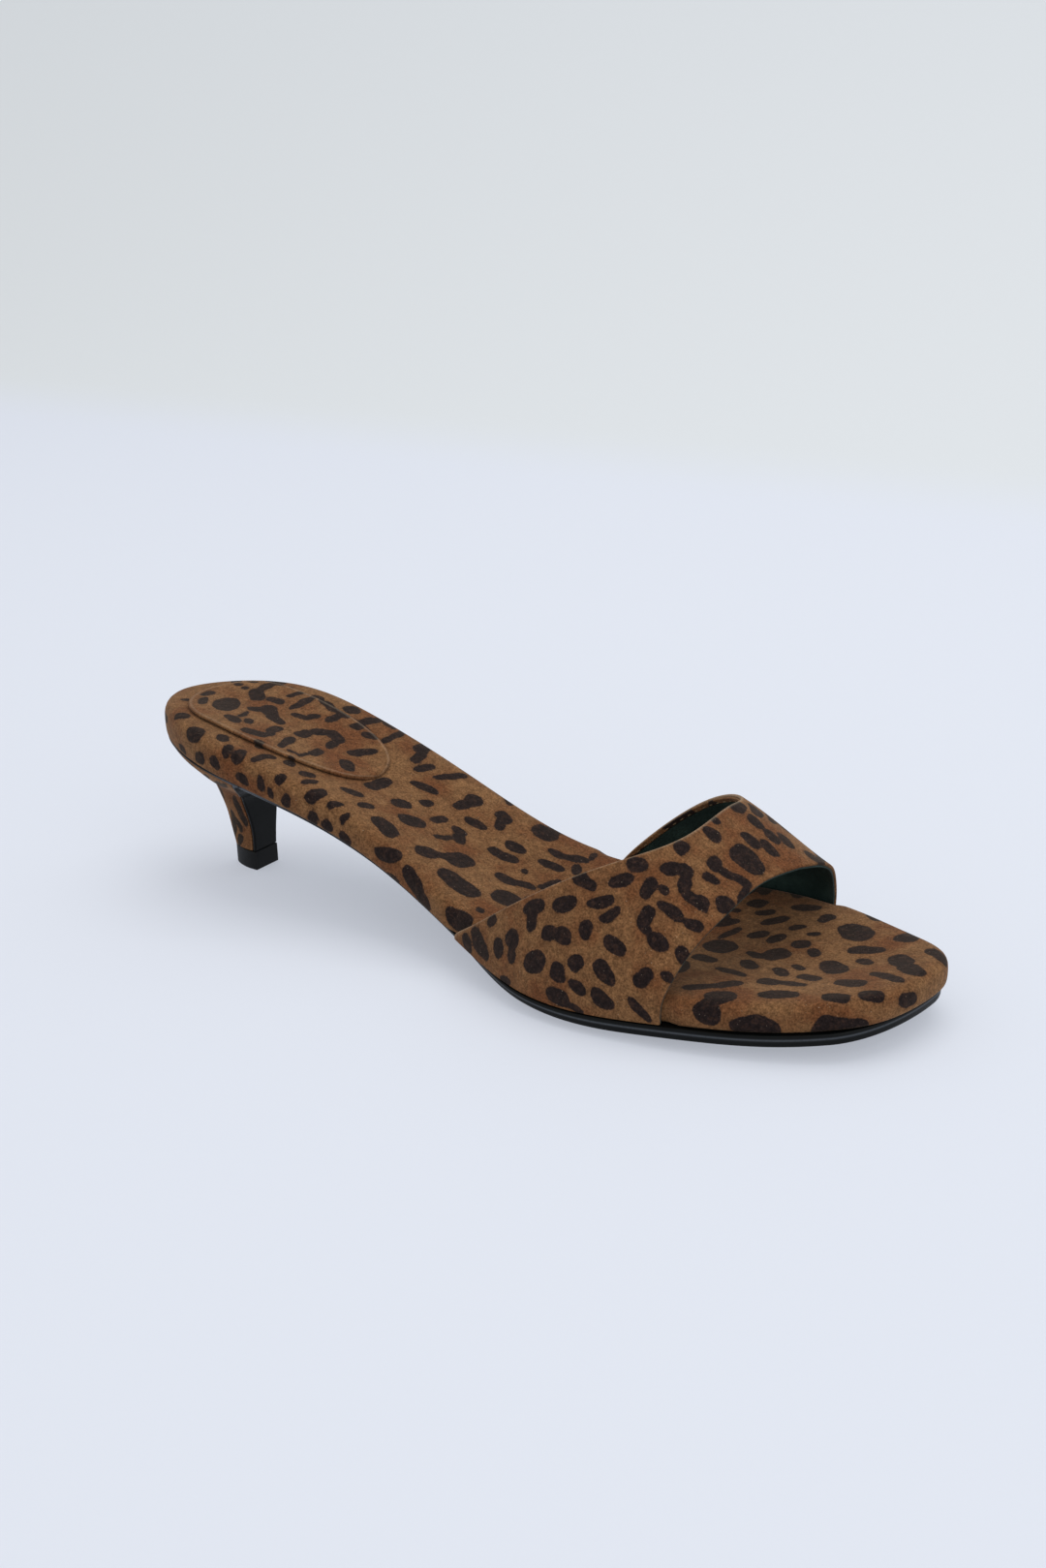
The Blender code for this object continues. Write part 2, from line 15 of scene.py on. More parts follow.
import bpy
import numpy as np
from bpy.types import ID, Material, Node, NodeSocket, NodeTree, Object
from mathutils import Matrix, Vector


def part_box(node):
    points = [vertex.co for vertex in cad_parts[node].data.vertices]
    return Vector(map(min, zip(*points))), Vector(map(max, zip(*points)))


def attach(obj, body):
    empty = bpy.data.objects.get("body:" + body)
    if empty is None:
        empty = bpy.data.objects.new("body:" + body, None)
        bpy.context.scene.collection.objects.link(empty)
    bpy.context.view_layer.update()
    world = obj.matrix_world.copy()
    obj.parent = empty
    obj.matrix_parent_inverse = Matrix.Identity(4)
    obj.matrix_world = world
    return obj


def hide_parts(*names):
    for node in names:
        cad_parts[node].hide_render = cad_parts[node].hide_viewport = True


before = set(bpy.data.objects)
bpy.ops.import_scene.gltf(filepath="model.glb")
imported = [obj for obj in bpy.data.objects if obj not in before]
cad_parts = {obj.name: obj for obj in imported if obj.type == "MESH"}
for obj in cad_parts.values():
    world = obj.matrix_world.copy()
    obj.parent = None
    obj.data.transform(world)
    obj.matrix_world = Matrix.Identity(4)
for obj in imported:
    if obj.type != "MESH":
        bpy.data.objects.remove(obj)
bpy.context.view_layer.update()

Array = np.ndarray
MM = 0.001
LOG = logging.getLogger("mule")


class Side(IntEnum):
    """The two sides of the right foot, by the sign of y."""

    OUTER = -1
    INNER = 1


class Slot(Enum):
    """The record's material slots."""

    SUEDE = "printed_suede"
    SOLE = "black_sole"
    RUBBER = "black_rubber"


class Spot(NamedTuple):
    """One dark spot of the print: its middle, length and width in millimetres and its turn in degrees."""

    x: float
    y: float
    length: float
    width: float
    turn: float


def chart(*rows: tuple[float, ...]) -> tuple[Spot, ...]:
    """The spots of a chart, from rows of a spot's five numbers."""
    return tuple(Spot(*row) for row in rows)


# Spots of the footbed and the heel sock, on the suede laid flat: x along the foot, y across it.
BED_PRINT = chart(
    (-6.8, -2.5, 11, 2.2, 102), (-4.0, 8.8, 4.5, 2.2, 65), (-1.2, 9.5, 5.5, 1.8, 62),
    (-0.5, 16.5, 12, 3.4, 46), (8.5, 18.8, 3, 1.5, 30), (12.7, 19.2, 3.8, 2.2, 20), (11.2, 13.2, 9, 3.2, -40),
    (10.5, 23.8, 6.5, 3, 20), (14.5, 28, 12, 2, 36), (29, 32, 8, 2.2, 5), (37, 32, 7, 3.5, 10),
    (28, 28.6, 9, 1.4, 2), (40, 34.8, 6, 3, -30), (48, 35.6, 5, 2, -5), (53.5, 36, 4.5, 1.6, -15),
    (45, 30, 9, 3, -22), (55.5, 29.5, 13, 2.4, -40), (62, 30, 13, 2.6, -45), (66.5, 20.5, 12, 2.4, 92),
    (57, 21.5, 8, 3.4, 68), (57, 17.2, 8.5, 1.6, -8), (62, 24, 4.5, 2.2, 0), (69.3, 32, 6, 3.6, -60),
    (73.5, 27.5, 9, 4, -55), (75, 23, 6, 4.4, -80), (77.3, 18, 7, 2.8, -78), (73.5, 35.8, 9, 3.2, -50),
    (78.5, 37, 5, 3.2, 20), (83, 31.2, 13.5, 2, -31), (49.5, 22, 5, 4.8, 60), (38, 19.8, 4.5, 2.2, 0),
    (43.5, 18, 6, 4.5, -20), (47, 16.6, 5.5, 4, -10), (51.5, 15.5, 4.5, 3, -10), (50.8, 12, 6.5, 3, 78),
    (38.9, 12, 11, 2.6, 86), (34, 14.5, 6, 2.2, 80), (26.5, 17, 7, 2.6, 45), (24, 12.5, 6, 3.6, 80),
    (25.5, 7, 8, 4.5, -45), (32, 7.5, 6, 3.4, 10), (46.3, 7.8, 4.5, 2.6, 70), (43.8, 5.3, 6, 2.4, 12),
    (35.5, 1.3, 8, 5, -35), (40, -1.5, 7.5, 4, -10), (31.8, -0.8, 4.5, 3.2, 30), (32.3, -6.5, 6, 1.8, -75),
    (33.3, -12, 6.5, 4, -25), (36.8, -9.3, 4.5, 2.6, -50), (24, -5, 11.5, 7, -65), (14.3, -2.7, 5.5, 3, 90),
    (18, -8.2, 6.5, 2.6, -62), (17.7, 13.8, 4.6, 3.8, 10), (16.5, 8.6, 2.8, 2.4, 0), (20, 7.8, 2.2, 2.4, 90),
    (21.8, 19.6, 6.5, 3.2, 25), (11, -8.6, 3, 2.4, 0), (44.8, -7, 6, 3.4, 85), (43.2, -14.2, 8, 4.5, 20),
    (45.8, -11.5, 5, 2.6, 80), (52.2, -10.5, 9, 3, -75), (60.3, -7.2, 6, 3.2, -80), (60, -12, 5, 1.5, 85),
    (57.5, -13.8, 4, 1.5, 10), (51, -1.8, 5.5, 4.2, 80), (53.2, 3.2, 6.5, 3.6, 50),
    (57.5, 4.6, 7.5, 3.8, -25), (59.8, 0.5, 5.5, 2.8, -75), (69.5, -4.5, 6.5, 4.4, -38),
    (67.5, 5, 9.5, 3.2, 62), (58.3, 14, 3.8, 3.8, 0), (63.6, 12.9, 4.8, 3.2, 30), (20, -19.6, 5.5, 4, 10),
    (30.6, -25.6, 7, 6, 0), (39, -22.8, 4.5, 3.8, -60), (44, -26.5, 5.5, 3, -75), (48, -26.4, 6, 3.6, -75),
    (48.6, -17.9, 2.8, 2.6, 0), (53.2, -22.8, 7.5, 2.6, 80), (54.2, -19.6, 2.8, 2.4, 0),
    (59.3, -18, 3.6, 3.4, 0), (66.3, -18, 4.6, 3.2, 40), (69, -20.8, 5.5, 2, 60), (73.6, -23.6, 7.5, 3.8, 65),
    (62.7, -26, 3.8, 2.4, 70), (34, -32.6, 4.6, 4.2, 0), (40.6, -32.2, 3.8, 3.6, 0),
    (50.6, -32.8, 4.5, 3.4, 0), (56.8, -30.6, 4.8, 2.4, 80), (60, -31.6, 3.4, 2.2, 85),
    (65.4, -31.2, 5, 2.6, 65), (23.8, -31, 6, 2.4, -30), (6, -17, 13, 2.6, -28), (74, -30.8, 5.5, 3, 60),
    (78.5, -1.8, 10.5, 4.2, 85), (87.6, -3.5, 5.5, 4, 45), (91.2, 4, 4.5, 3, 60), (86.3, 8.7, 8.5, 2.8, 22),
    (81.3, 15.8, 7, 2.6, 75), (88, 19.5, 11, 2.4, 62), (78.2, -13.2, 7, 2.6, 28), (84.4, -15.2, 5.2, 2.6, 55),
    (79.8, -22.8, 5.6, 2.4, 60), (84.3, -24.3, 4.6, 1.8, 75), (78.5, -30.4, 4.6, 3, 60),
    (84.2, -30.6, 5, 3.6, 60), (94.7, -7.4, 8, 5, 45), (92.5, -17.2, 7.5, 5.2, 0), (95.5, -18.6, 5, 5, 0),
    (98.4, 16.5, 6, 4.8, 70), (97.3, 12.2, 6.5, 3.4, 80), (97.3, 1, 5.2, 2.8, 65), (99.5, 26.8, 2.4, 2, 0),
    (90.8, 35, 6, 3.6, -10), (100.5, 34.8, 5, 4.4, -15), (103.6, 26.6, 6, 2.8, -50),
    (107.5, 18.2, 5.4, 4.2, 0), (108.9, 14.6, 5, 3, -60), (104.4, 9.2, 7.2, 3, 18), (103.6, 2.2, 5, 3, 20),
    (105.8, -0.6, 4.8, 4.2, -50), (103.3, -4.6, 5.5, 2, 65), (112.2, -9.2, 9, 7, 80),
    (106, -15.6, 6.5, 5.2, 40), (108.7, -12.8, 5, 3, 45), (119.3, -19.2, 14, 7, -4),
    (99.5, -25.8, 9.5, 4, 25), (101.4, -32.2, 5, 3.4, 0), (109.5, -28.5, 9, 6, -30),
    (113.5, -32, 6.5, 5, -45), (127.4, -31.6, 9.5, 6.5, 0), (130.6, -25, 3, 2.6, 0),
    (130.4, -12.8, 8.5, 8, 0), (124.2, -4, 6.5, 4.4, 10), (129, -1.8, 6.5, 3, 15), (125, 3.4, 2.4, 2.4, 0),
    (114.7, 4, 4.6, 3.8, 0), (118.5, 5, 6.5, 3.8, 25), (117, 10.2, 6.4, 3.8, 18), (126.6, 11.3, 4.5, 3.6, 0),
    (130, 11.9, 5, 3.2, 5), (126.7, 17.6, 6, 3, 0), (131.5, 19.6, 7.5, 3.6, 30), (118.6, 22.6, 7.5, 7, 0),
    (113.5, 32.2, 9.5, 3.8, -18), (119, 28.5, 6, 4.5, -50), (113.4, 38.4, 8.5, 3.2, 8), (121.5, 36, 9, 2, 2),
    (125.5, 37, 8, 2, -5), (133.3, 4, 8, 2.8, 80), (200.5, 27.6, 8, 4, 15), (187, 25.3, 5, 5.5, 90),
    (191.5, 21, 5.5, 3, 30), (183.3, 19, 3.4, 2.2, 0), (196.7, 17.6, 8, 3.8, 45), (208.6, 23.8, 6, 3.8, 70),
    (203.8, 16.4, 5, 2.6, 40), (209.6, 14.6, 3.2, 2.2, 30), (185, 12, 7, 3.4, 40), (188.8, 7, 8.5, 2.6, 70),
    (196.3, 9, 6, 3.8, 40), (201.8, 8.8, 6.5, 3.6, 80), (209, 8.6, 5.6, 4, 30), (214.3, 5.6, 5.2, 3, -45),
    (190.8, -1.4, 9, 8, -10), (206.3, 0.6, 8, 6.5, 50), (201.5, -2, 6, 3, -15), (215, -3.9, 4, 2.8, -30),
    (223.5, -0.8, 10, 6.5, -38), (203.8, -8.8, 7, 4.5, -40), (213, -9.2, 7, 3.4, -35),
    (221.2, -9.6, 6.5, 4.4, -15), (191.6, -10.6, 7.5, 4.5, -15), (202.5, -15.9, 9.5, 3, -12),
    (214, -17.2, 6, 5, 0), (219.5, -16, 9, 3.2, 8), (189.6, -19, 10, 4.2, -60), (206.3, -24.5, 9, 4, 45),
    (201.3, -29.5, 9, 3.2, 42), (220.8, -24.3, 10, 5, 28), (208.8, -32, 7.5, 6.5, 35),
    (207.8, -38, 7.5, 6, 40), (219, -38, 12, 6, 20), (221.5, -36.5, 9, 5.5, 5), (233.2, -10.5, 9, 5.6, -5),
    (234.6, -20.6, 7, 5, 20), (241.6, -16.2, 6.5, 4.6, 20), (240.4, -4.6, 11.5, 3.4, -18),
    (238.5, 6.6, 8.5, 6, -45), (244, 1.4, 9.5, 4.8, -35), (229.7, 4.4, 6, 3, -22), (226.7, 11, 10, 4.2, 12),
    (219.5, 19.2, 11.5, 7.6, -25), (218.2, 31.2, 9.5, 4, -40), (233.6, 20.2, 6.5, 5.5, 0),
    (231.5, 27, 12, 3.6, -55), (245, 20.5, 14, 4, -42), (246, 12.5, 9.5, 4, -38), (250.2, -9.2, 7.5, 3.6, 55),
    (241.5, -28, 17, 7, 35), (237, -29.5, 7, 6.5, 0), (201.5, 43, 8, 2.6, -40), (213, 39.5, 13, 3.4, -32),
    (195.5, 42.3, 11, 2, -22), (192.5, 37, 11, 4, -60), (237.5, 31.5, 7, 2, -28), (183.5, 35.5, 10, 4.5, -65),
)

# Spots of the vamp, laid flat: x along the foot, y round it from the crest, minus on the outer side.
VAMP_PRINT = chart(
    (132.6, -54.5, 8, 2.4, -62), (138.3, -57.8, 14.5, 3.4, -60), (142.4, -53.6, 4.8, 2.8, -45),
    (146.4, -62.2, 7, 3.2, -62), (151.2, -61.2, 6.5, 4, -60), (152, -65.8, 5, 2.6, -75),
    (156.8, -53.2, 6.5, 4, 0), (157.2, -56.8, 6, 3.2, -75), (160, -67.4, 7, 6.2, 0),
    (163.5, -59.6, 4.4, 4.6, 0), (167.9, -59.5, 4.6, 4.4, 0), (165.8, -59.6, 3, 2.2, 0),
    (167.9, -68.8, 4.6, 5.4, 0), (165.8, -51.5, 7, 4.2, 18), (168.5, -44.2, 5.5, 4.2, -20),
    (171, -45, 4.5, 2.8, 10), (175.5, -47.8, 8, 2.8, 35), (179, -49.5, 6.5, 2.4, 50),
    (178.7, -40.6, 7, 3.2, 50), (180.5, -34.8, 6, 4, 25), (173.8, -55.8, 4.8, 3.4, 65),
    (172.9, -64.6, 4.8, 4, 40), (173.6, -70.6, 5.2, 3.6, 0), (182.3, -55.8, 6, 4.2, 0),
    (180.8, -63.2, 6.4, 5, -10), (181, -70.4, 6.8, 4.4, 0), (187.8, -44.8, 6.5, 3.6, 88),
    (189, -47, 3, 2.6, 0), (192.6, -47.9, 5.6, 3.4, 20), (191.4, -58, 7.5, 3.4, 62), (191, -66.6, 7, 3, -15),
    (198.8, -46.2, 4.5, 3.4, 60), (197.2, -53.6, 3.4, 2.6, 30), (192.8, -39.4, 7.5, 3, 12),
    (189.4, -36, 3, 2.6, 0), (185.8, -38, 6.5, 3.4, 75), (199, -38, 5, 3, 30), (188.3, -30, 6.5, 3.2, 45),
    (191.4, -27.9, 4, 3.6, 0), (193, -31.2, 5.5, 3.4, -75), (196.2, -33, 6, 3.2, 10),
    (198.6, -32, 3.4, 3.4, 0), (187.8, -23.2, 4.6, 3.6, 90), (197, -25, 4.4, 2.6, 20),
    (195.9, -20.5, 5, 3.2, 80), (199.5, -20.2, 6, 2.2, 15), (203.2, -19.2, 5, 2.6, 5),
    (205.3, -22.5, 6, 2.4, -85), (203, -28, 5, 4.2, 60), (191.2, -13.6, 4.4, 4, 0), (200.6, -12.2, 9, 7, 0),
    (189.5, -8.8, 2.6, 2.2, 0), (198.2, -6, 5.6, 3.4, 0), (202, -3.2, 5.4, 3.6, -10), (190, 2, 6, 3.8, -75),
    (195.2, 1.6, 4.4, 4.2, 0), (199.9, 1.8, 5, 3.6, -10), (202.4, 5, 6, 3.4, -30), (191.8, 7.6, 7, 3.8, -50),
    (195.8, 17, 9, 5, -60), (184.6, 23.8, 7, 4.2, -70), (206, 17.5, 16, 3, -60), (178, 27.5, 8, 3.6, -50),
    (209, 8.6, 6.4, 4.8, 20), (194.4, 11.6, 6, 2.6, -60), (168, -75.3, 7.5, 4.6, -12), (173, -76.8, 6, 2, -5),
    (149, -71.8, 5, 2.2, -30),
)

# Spots of the heel's cover, laid flat: x back from the breast, y up from the floor.
HEEL_PRINT = chart(
    (2.2, 19.5, 11, 2.8, 82), (5, 14, 5, 2.2, 70), (8.2, 13.2, 11, 3, -74), (5.5, 8.5, 5, 2.6, -60),
    (5.2, 34.5, 8, 2.2, -48), (9, 33, 11, 2.4, -52), (13, 35.5, 8, 2.2, -45), (10.5, 24, 6, 2.2, 80),
    (17, 26, 6, 3, 70), (21, 38, 7, 3.2, -20), (28, 36, 6, 3, 15), (35, 38.5, 7, 2.8, -15),
    (14.5, 14, 8, 2.4, 84), (31, 31.5, 5, 3, 30), (24, 30, 6, 2.6, -60), (19, 33.5, 3, 2.4, 0),
)


def spline(knots: Array, values: Array, at: Array) -> Array:
    """A natural cubic through the knots: its pieces meet with one slope and bend, and its ends are unbent.

    Args:
        knots: Places of the knots, rising.
        values: The curve's value at each knot.
        at: Places where it is read, of any shape.

    Returns:
        The curve's values at those places.
    """
    knots, values = np.asarray(knots, float), np.asarray(values, float)
    step = np.diff(knots)
    slope = np.diff(values) / step
    inner = np.arange(1, len(knots) - 1)
    system = np.eye(len(knots))
    system[inner, inner - 1] = step[:-1]
    system[inner, inner] = 2 * (step[:-1] + step[1:])
    system[inner, inner + 1] = step[1:]
    bend = np.zeros(len(knots))
    bend[inner] = 6 * np.diff(slope)
    bend = np.linalg.solve(system, bend)
    at = np.clip(at, knots[0], knots[-1])
    i = np.clip(np.searchsorted(knots, at, side="right") - 1, 0, len(step) - 1)
    left, right = at - knots[i], knots[i + 1] - at
    return (
        (bend[i] * right**3 + bend[i + 1] * left**3) / (6 * step[i])
        + (values[i] / step[i] - bend[i] * step[i] / 6) * right
        + (values[i + 1] / step[i] - bend[i + 1] * step[i] / 6) * left
    )


def smooth_step(share: Array) -> Array:
    """A soft change from 0 to 1: three times the square less twice the cube."""
    share = np.clip(share, 0, 1)
    return share * share * (3 - 2 * share)


def run_of(points: Array) -> Array:
    """The length along each row of points, from the row's first point."""
    step = np.linalg.norm(np.diff(points, axis=1), axis=-1)
    return np.concatenate([np.zeros((len(points), 1)), np.cumsum(step, axis=1)], axis=1)


@dataclass(frozen=True)
class Print:
    """A chart of spots on suede laid flat.

    The distance to a spot is that to a full oval: the oval's own measure of a point, less one, over the
    measure's slope. Neighbours within the blend length run into each other. Before that, sums of sines shift
    every point by up to about the wander, so that no edge is drawn too straight.
    """

    spots: tuple[Spot, ...]
    fullness: float = 2.4
    blend: float = 0.55
    wander: float = 0.24

    def distance(self, lay: Array) -> Array:
        """How far each point of the flat suede lies outside the nearest spot.

        Args:
            lay: Points on the flat suede in metres, with the last axis x and y.

        Returns:
            The distance in millimetres, minus inside a spot.
        """
        x, y = lay[..., 0] / MM, lay[..., 1] / MM
        x = x + self.wander * (np.sin(y / 1.9 + 2 * np.sin(x / 4.1)) + 0.5 * np.sin(y / 0.8 + x / 1.3))
        y = y + self.wander * (np.sin(x / 2.1 + 2 * np.sin(y / 3.7)) + 0.5 * np.sin(x / 0.9 - y / 1.1))
        nearest = np.full(x.shape, 9.0)
        for spot in self.spots:
            turn = np.radians(spot.turn)
            along = (x - spot.x) * np.cos(turn) + (y - spot.y) * np.sin(turn)
            across = (y - spot.y) * np.cos(turn) - (x - spot.x) * np.sin(turn)
            a, b, p = spot.length / 2, spot.width / 2, self.fullness
            along, across = np.abs(along) + 1e-3, np.abs(across) + 1e-3
            measure = ((along / a) ** p + (across / b) ** p) ** (1 / p)
            slope = measure ** (1 - p) * np.hypot(along ** (p - 1) / a**p, across ** (p - 1) / b**p)
            away = (measure - 1) / slope
            mix = np.clip(0.5 + (nearest - away) / (2 * self.blend), 0, 1)
            nearest = nearest + (away - nearest) * mix - self.blend * mix * (1 - mix)
        return nearest


def turned_over(spots: tuple[Spot, ...], by: float) -> tuple[Spot, ...]:
    """The spots turned over to the other side of the foot and moved along it by a length."""
    return tuple(Spot(s.x + by, -s.y, s.length, s.width, -s.turn) for s in spots)


@dataclass(frozen=True)
class Last:
    """The last's outline and feather, which every piece follows.

    The corners are the places along the foot, first outer and then inner, where the vamp's rear and front
    edges meet the feather. The tip is the heel's lower end.
    """

    length: float = 250 * MM
    heel_width: float = 56 * MM
    waist_width: float = 52.5 * MM
    ball_width: float = 80 * MM
    toe_swing: float = 6.5 * MM
    seat_height: float = 43.2 * MM
    tread_height: float = 5.3 * MM
    toe_spring: float = 4.6 * MM
    heel_round: float = 27 * MM
    toe_round: float = 33 * MM
    gap: float = 0.3 * MM
    tip_setback: float = 18.3 * MM
    tip_shift: float = 0.9 * MM
    rear_corners: tuple[float, float] = (126.5 * MM, 136.4 * MM)
    front_corners: tuple[float, float] = (196.3 * MM, 204.5 * MM)
    outer_shares: tuple[float, ...] = (
        0.200, 0.384, 0.509, 0.520, 0.478, 0.592, 0.522, 0.516, 0.441, 0.328, 0.178,
    )
    inner_shares: tuple[float, ...] = (
        0.190, 0.379, 0.489, 0.522, 0.526, 0.571, 0.458, 0.492, 0.428, 0.319, 0.216,
    )
    heel_shares: tuple[float, ...] = (1, 0.977, 0.857, 0.659, 0.398, 0.148, 0.022, 0, 0, 0, 0)
    toe_shares: tuple[float, ...] = (0, 0, 0, 0, 0, 0, 0, 0.02, 0.26, 0.46, 1)

    def place_of(self, turn: Array) -> Array:
        """Distance from the heel point: half the length times one less the cosine of the turn."""
        return self.length * (1 - np.cos(np.pi * turn)) / 2

    def turn_of(self, x: Array) -> Array:
        """Share of the turn round the outline at a distance from the heel point."""
        return np.arccos(1 - 2 * np.clip(x / self.length, 0, 1)) / np.pi

    def outline(self, turn: Array, side: Array | Side) -> Array:
        """The outline's distance to a side: a spline through the shares of the three widths.

        Args:
            turn: Shares of the turn from the heel point to the toe point.
            side: Minus for the outer side, plus for the inner side.

        Returns:
            The outline's y.
        """
        widths = np.array([self.heel_width] * 3 + [self.waist_width] * 3 + [self.ball_width] * 5)
        knots = np.arange(13) / 12
        outer = np.concatenate([[0], -widths * self.outer_shares, [self.toe_swing]])
        inner = np.concatenate([[0], widths * self.inner_shares, [self.toe_swing]])
        return np.where(np.asarray(side) < 0, spline(knots, outer, turn), spline(knots, inner, turn))

    def spine(self, turn: Array) -> tuple[Array, Array]:
        """The line the sections turn about: midway across the outline, short of both ends.

        Args:
            turn: Shares of the turn round the outline.

        Returns:
            The line's x and y there.
        """
        x = np.clip(self.place_of(turn), self.heel_round, self.length - self.toe_round)
        at = self.turn_of(x)
        return x, (self.outline(at, Side.OUTER) + self.outline(at, Side.INNER)) / 2

    def plan(
        self, turn: Array, side: Side, share: Array, inset: Array | float = 0.0
    ) -> tuple[Array, Array, Array]:
        """Points seen from above: the spine plus a share of the way to the outline, drawn in by an inset.

        Args:
            turn: Shares of the turn round the outline.
            side: The side of the foot.
            share: 0 on the spine, 1 on the outline.
            inset: How far the outline is drawn in there, minus for out.

        Returns:
            The points' x and y, and the spine's distance to the outline.
        """
        spine_x, spine_y = self.spine(turn)
        edge_x, edge_y = self.place_of(turn), self.outline(turn, side)
        reach = np.hypot(edge_x - spine_x, edge_y - spine_y)
        share = share * (1 - inset / reach)
        return spine_x + (edge_x - spine_x) * share, spine_y + (edge_y - spine_y) * share, reach

    def feather(self, x: Array) -> Array:
        """Height of the line between footbed and sole: tread, heel rise and toe spring times their splines.

        Args:
            x: Distances along the foot.

        Returns:
            The heights.
        """
        along = np.arange(11) / 10
        rise = spline(along, self.heel_shares, x / self.length)
        spring = spline(along, self.toe_shares, x / self.length)
        return self.tread_height + (self.seat_height - self.tread_height) * rise + self.toe_spring * spring

    def change(self, x: Array, start: float, end: float) -> Array:
        """A soft change from 0 to 1 between two shares of the length."""
        return smooth_step((x / self.length - start) / (end - start))


@dataclass(frozen=True)
class Workshop:
    """Puts finished surfaces into the scene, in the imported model's frame."""

    last: Last
    closeness: float = 0.002 * MM
    crease: float = 50

    def origin(self) -> Array:
        """Where the last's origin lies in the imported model, from the top piece, which both frames know."""
        (back, outer, floor), (_, inner, _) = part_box("top_piece")
        return np.array([back - self.last.tip_setback, (outer + inner) / 2 - self.last.tip_shift, floor])

    def piece(
        self,
        name: str,
        rings: Array,
        material: Material,
        slot: Slot,
        replaces: tuple[str, ...] = (),
        measures: dict[str, Array] | None = None,
        faces: Array | None = None,
    ) -> Object:
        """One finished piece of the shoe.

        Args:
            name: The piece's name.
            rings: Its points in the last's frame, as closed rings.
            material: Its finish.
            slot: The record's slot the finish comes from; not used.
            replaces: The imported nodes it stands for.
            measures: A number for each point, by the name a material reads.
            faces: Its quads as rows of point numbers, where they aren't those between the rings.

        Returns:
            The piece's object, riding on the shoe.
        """
        places = rings.reshape(-1, 3) + self.origin()
        quads = facing_out(rings, tube_faces(*rings.shape[:2])) if faces is None else faces
        kept, polygons = self.without_doubles(places, quads)
        mesh = bpy.data.meshes.new(name)
        mesh.from_pydata(places[kept].tolist(), [], polygons)
        for label, values in (measures or {}).items():
            attribute = mesh.attributes.new(label, "FLOAT", "POINT")
            attribute.data.foreach_set("value", np.asarray(values, np.float32).reshape(-1)[kept])
        mesh.validate()
        mesh.shade_smooth()
        mesh.set_sharp_from_angle(angle=np.radians(self.crease))
        mesh.materials.append(material)
        shape = bpy.data.objects.new(name, mesh)
        bpy.context.scene.collection.objects.link(shape)
        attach(shape, "root")
        if replaces:
            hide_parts(*replaces)
        return shape

    def without_doubles(self, places: Array, faces: Array) -> tuple[Array, list[list[int]]]:
        """Points that lie together made one, so that seams and poles are closed.

        Args:
            places: All points.
            faces: Quads as rows of point numbers.

        Returns:
            The numbers of the points to keep, and the faces in the new numbers.
        """
        rounded = np.round(places / self.closeness).astype(np.int64)
        _, first, index = np.unique(rounded, axis=0, return_index=True, return_inverse=True)
        new = index.reshape(-1)[faces]
        same = new == np.roll(new, -1, axis=1)
        quads = new[~same.any(axis=1)]
        three = same.sum(axis=1) == 1
        triangles = new[three][~same[three]].reshape(-1, 3)
        corners = np.concatenate([quads.reshape(-1), triangles.reshape(-1)])
        used, numbers = np.unique(corners, return_inverse=True)
        new_quads, new_triangles = np.split(numbers.reshape(-1), [quads.size])
        return first[used], new_quads.reshape(-1, 4).tolist() + new_triangles.reshape(-1, 3).tolist()


def tube_faces(rows: int, columns: int) -> Array:
    """Quads between closed rings of points: each row of the grid is a ring, whose last point meets its first.

    Args:
        rows: Number of rings.
        columns: Points in each ring.

    Returns:
        The quads as rows of point numbers.
    """
    index = np.arange(rows * columns).reshape(rows, columns)
    turned = np.roll(index, -1, axis=1)
    return np.stack([index[:-1], turned[:-1], turned[1:], index[1:]], axis=-1).reshape(-1, 4)


def sheet_faces(rows: int, columns: int) -> Array:
    """Quads of an open grid of points that are numbered row by row."""
    index = np.arange(rows * columns).reshape(rows, columns)
    return np.stack([index[:-1, :-1], index[1:, :-1], index[1:, 1:], index[:-1, 1:]], axis=-1).reshape(-1, 4)


def ring_of(outer: Array, inner: Array) -> Array:
    """Rings made of an outer half and an inner half that runs back."""
    return np.concatenate([outer, inner[:, ::-1]], axis=1)


def with_ends(values: Array, before: int = 1, after: int = 1) -> Array:
    """A measure with its first and last rows repeated, for the rings that close a shape."""
    return np.pad(values, ((before, after), (0, 0)), mode="edge")


def rod(path: Array, aside: Array, above: Array, columns: int) -> Array:
    """Rings of an oval carried along a path: the path plus the cosine of one half axis and sine of the other.

    Args:
        path: Points of the path.
        aside: The first half axis at each point.
        above: The second half axis at each point.
        columns: Points round each ring.

    Returns:
        The rings, with both ends closed by a ring drawn in to a point.
    """
    turn = np.linspace(0, 2 * np.pi, columns, endpoint=False)[None, :, None]
    rings = path[:, None] + aside[:, None] * np.cos(turn) + above[:, None] * np.sin(turn)
    first, last = (np.broadcast_to(path[i], rings[:1].shape) for i in (0, -1))
    return np.concatenate([first, rings, last])


def facing_out(points: Array, faces: Array) -> Array:
    """The faces turned over if the volume they enclose, a sum of triple products, is below zero.

    Args:
        points: The shape's points.
        faces: Its quads as rows of point numbers.

    Returns:
        The quads, which face outwards.
    """
    corners = points.reshape(-1, 3)[faces]
    first, second, third, fourth = (corners[:, i] for i in range(4))
    volume = np.sum(np.cross(first, second) * third) + np.sum(np.cross(first, third) * fourth)
    return faces[:, ::-1] if volume < 0 else faces


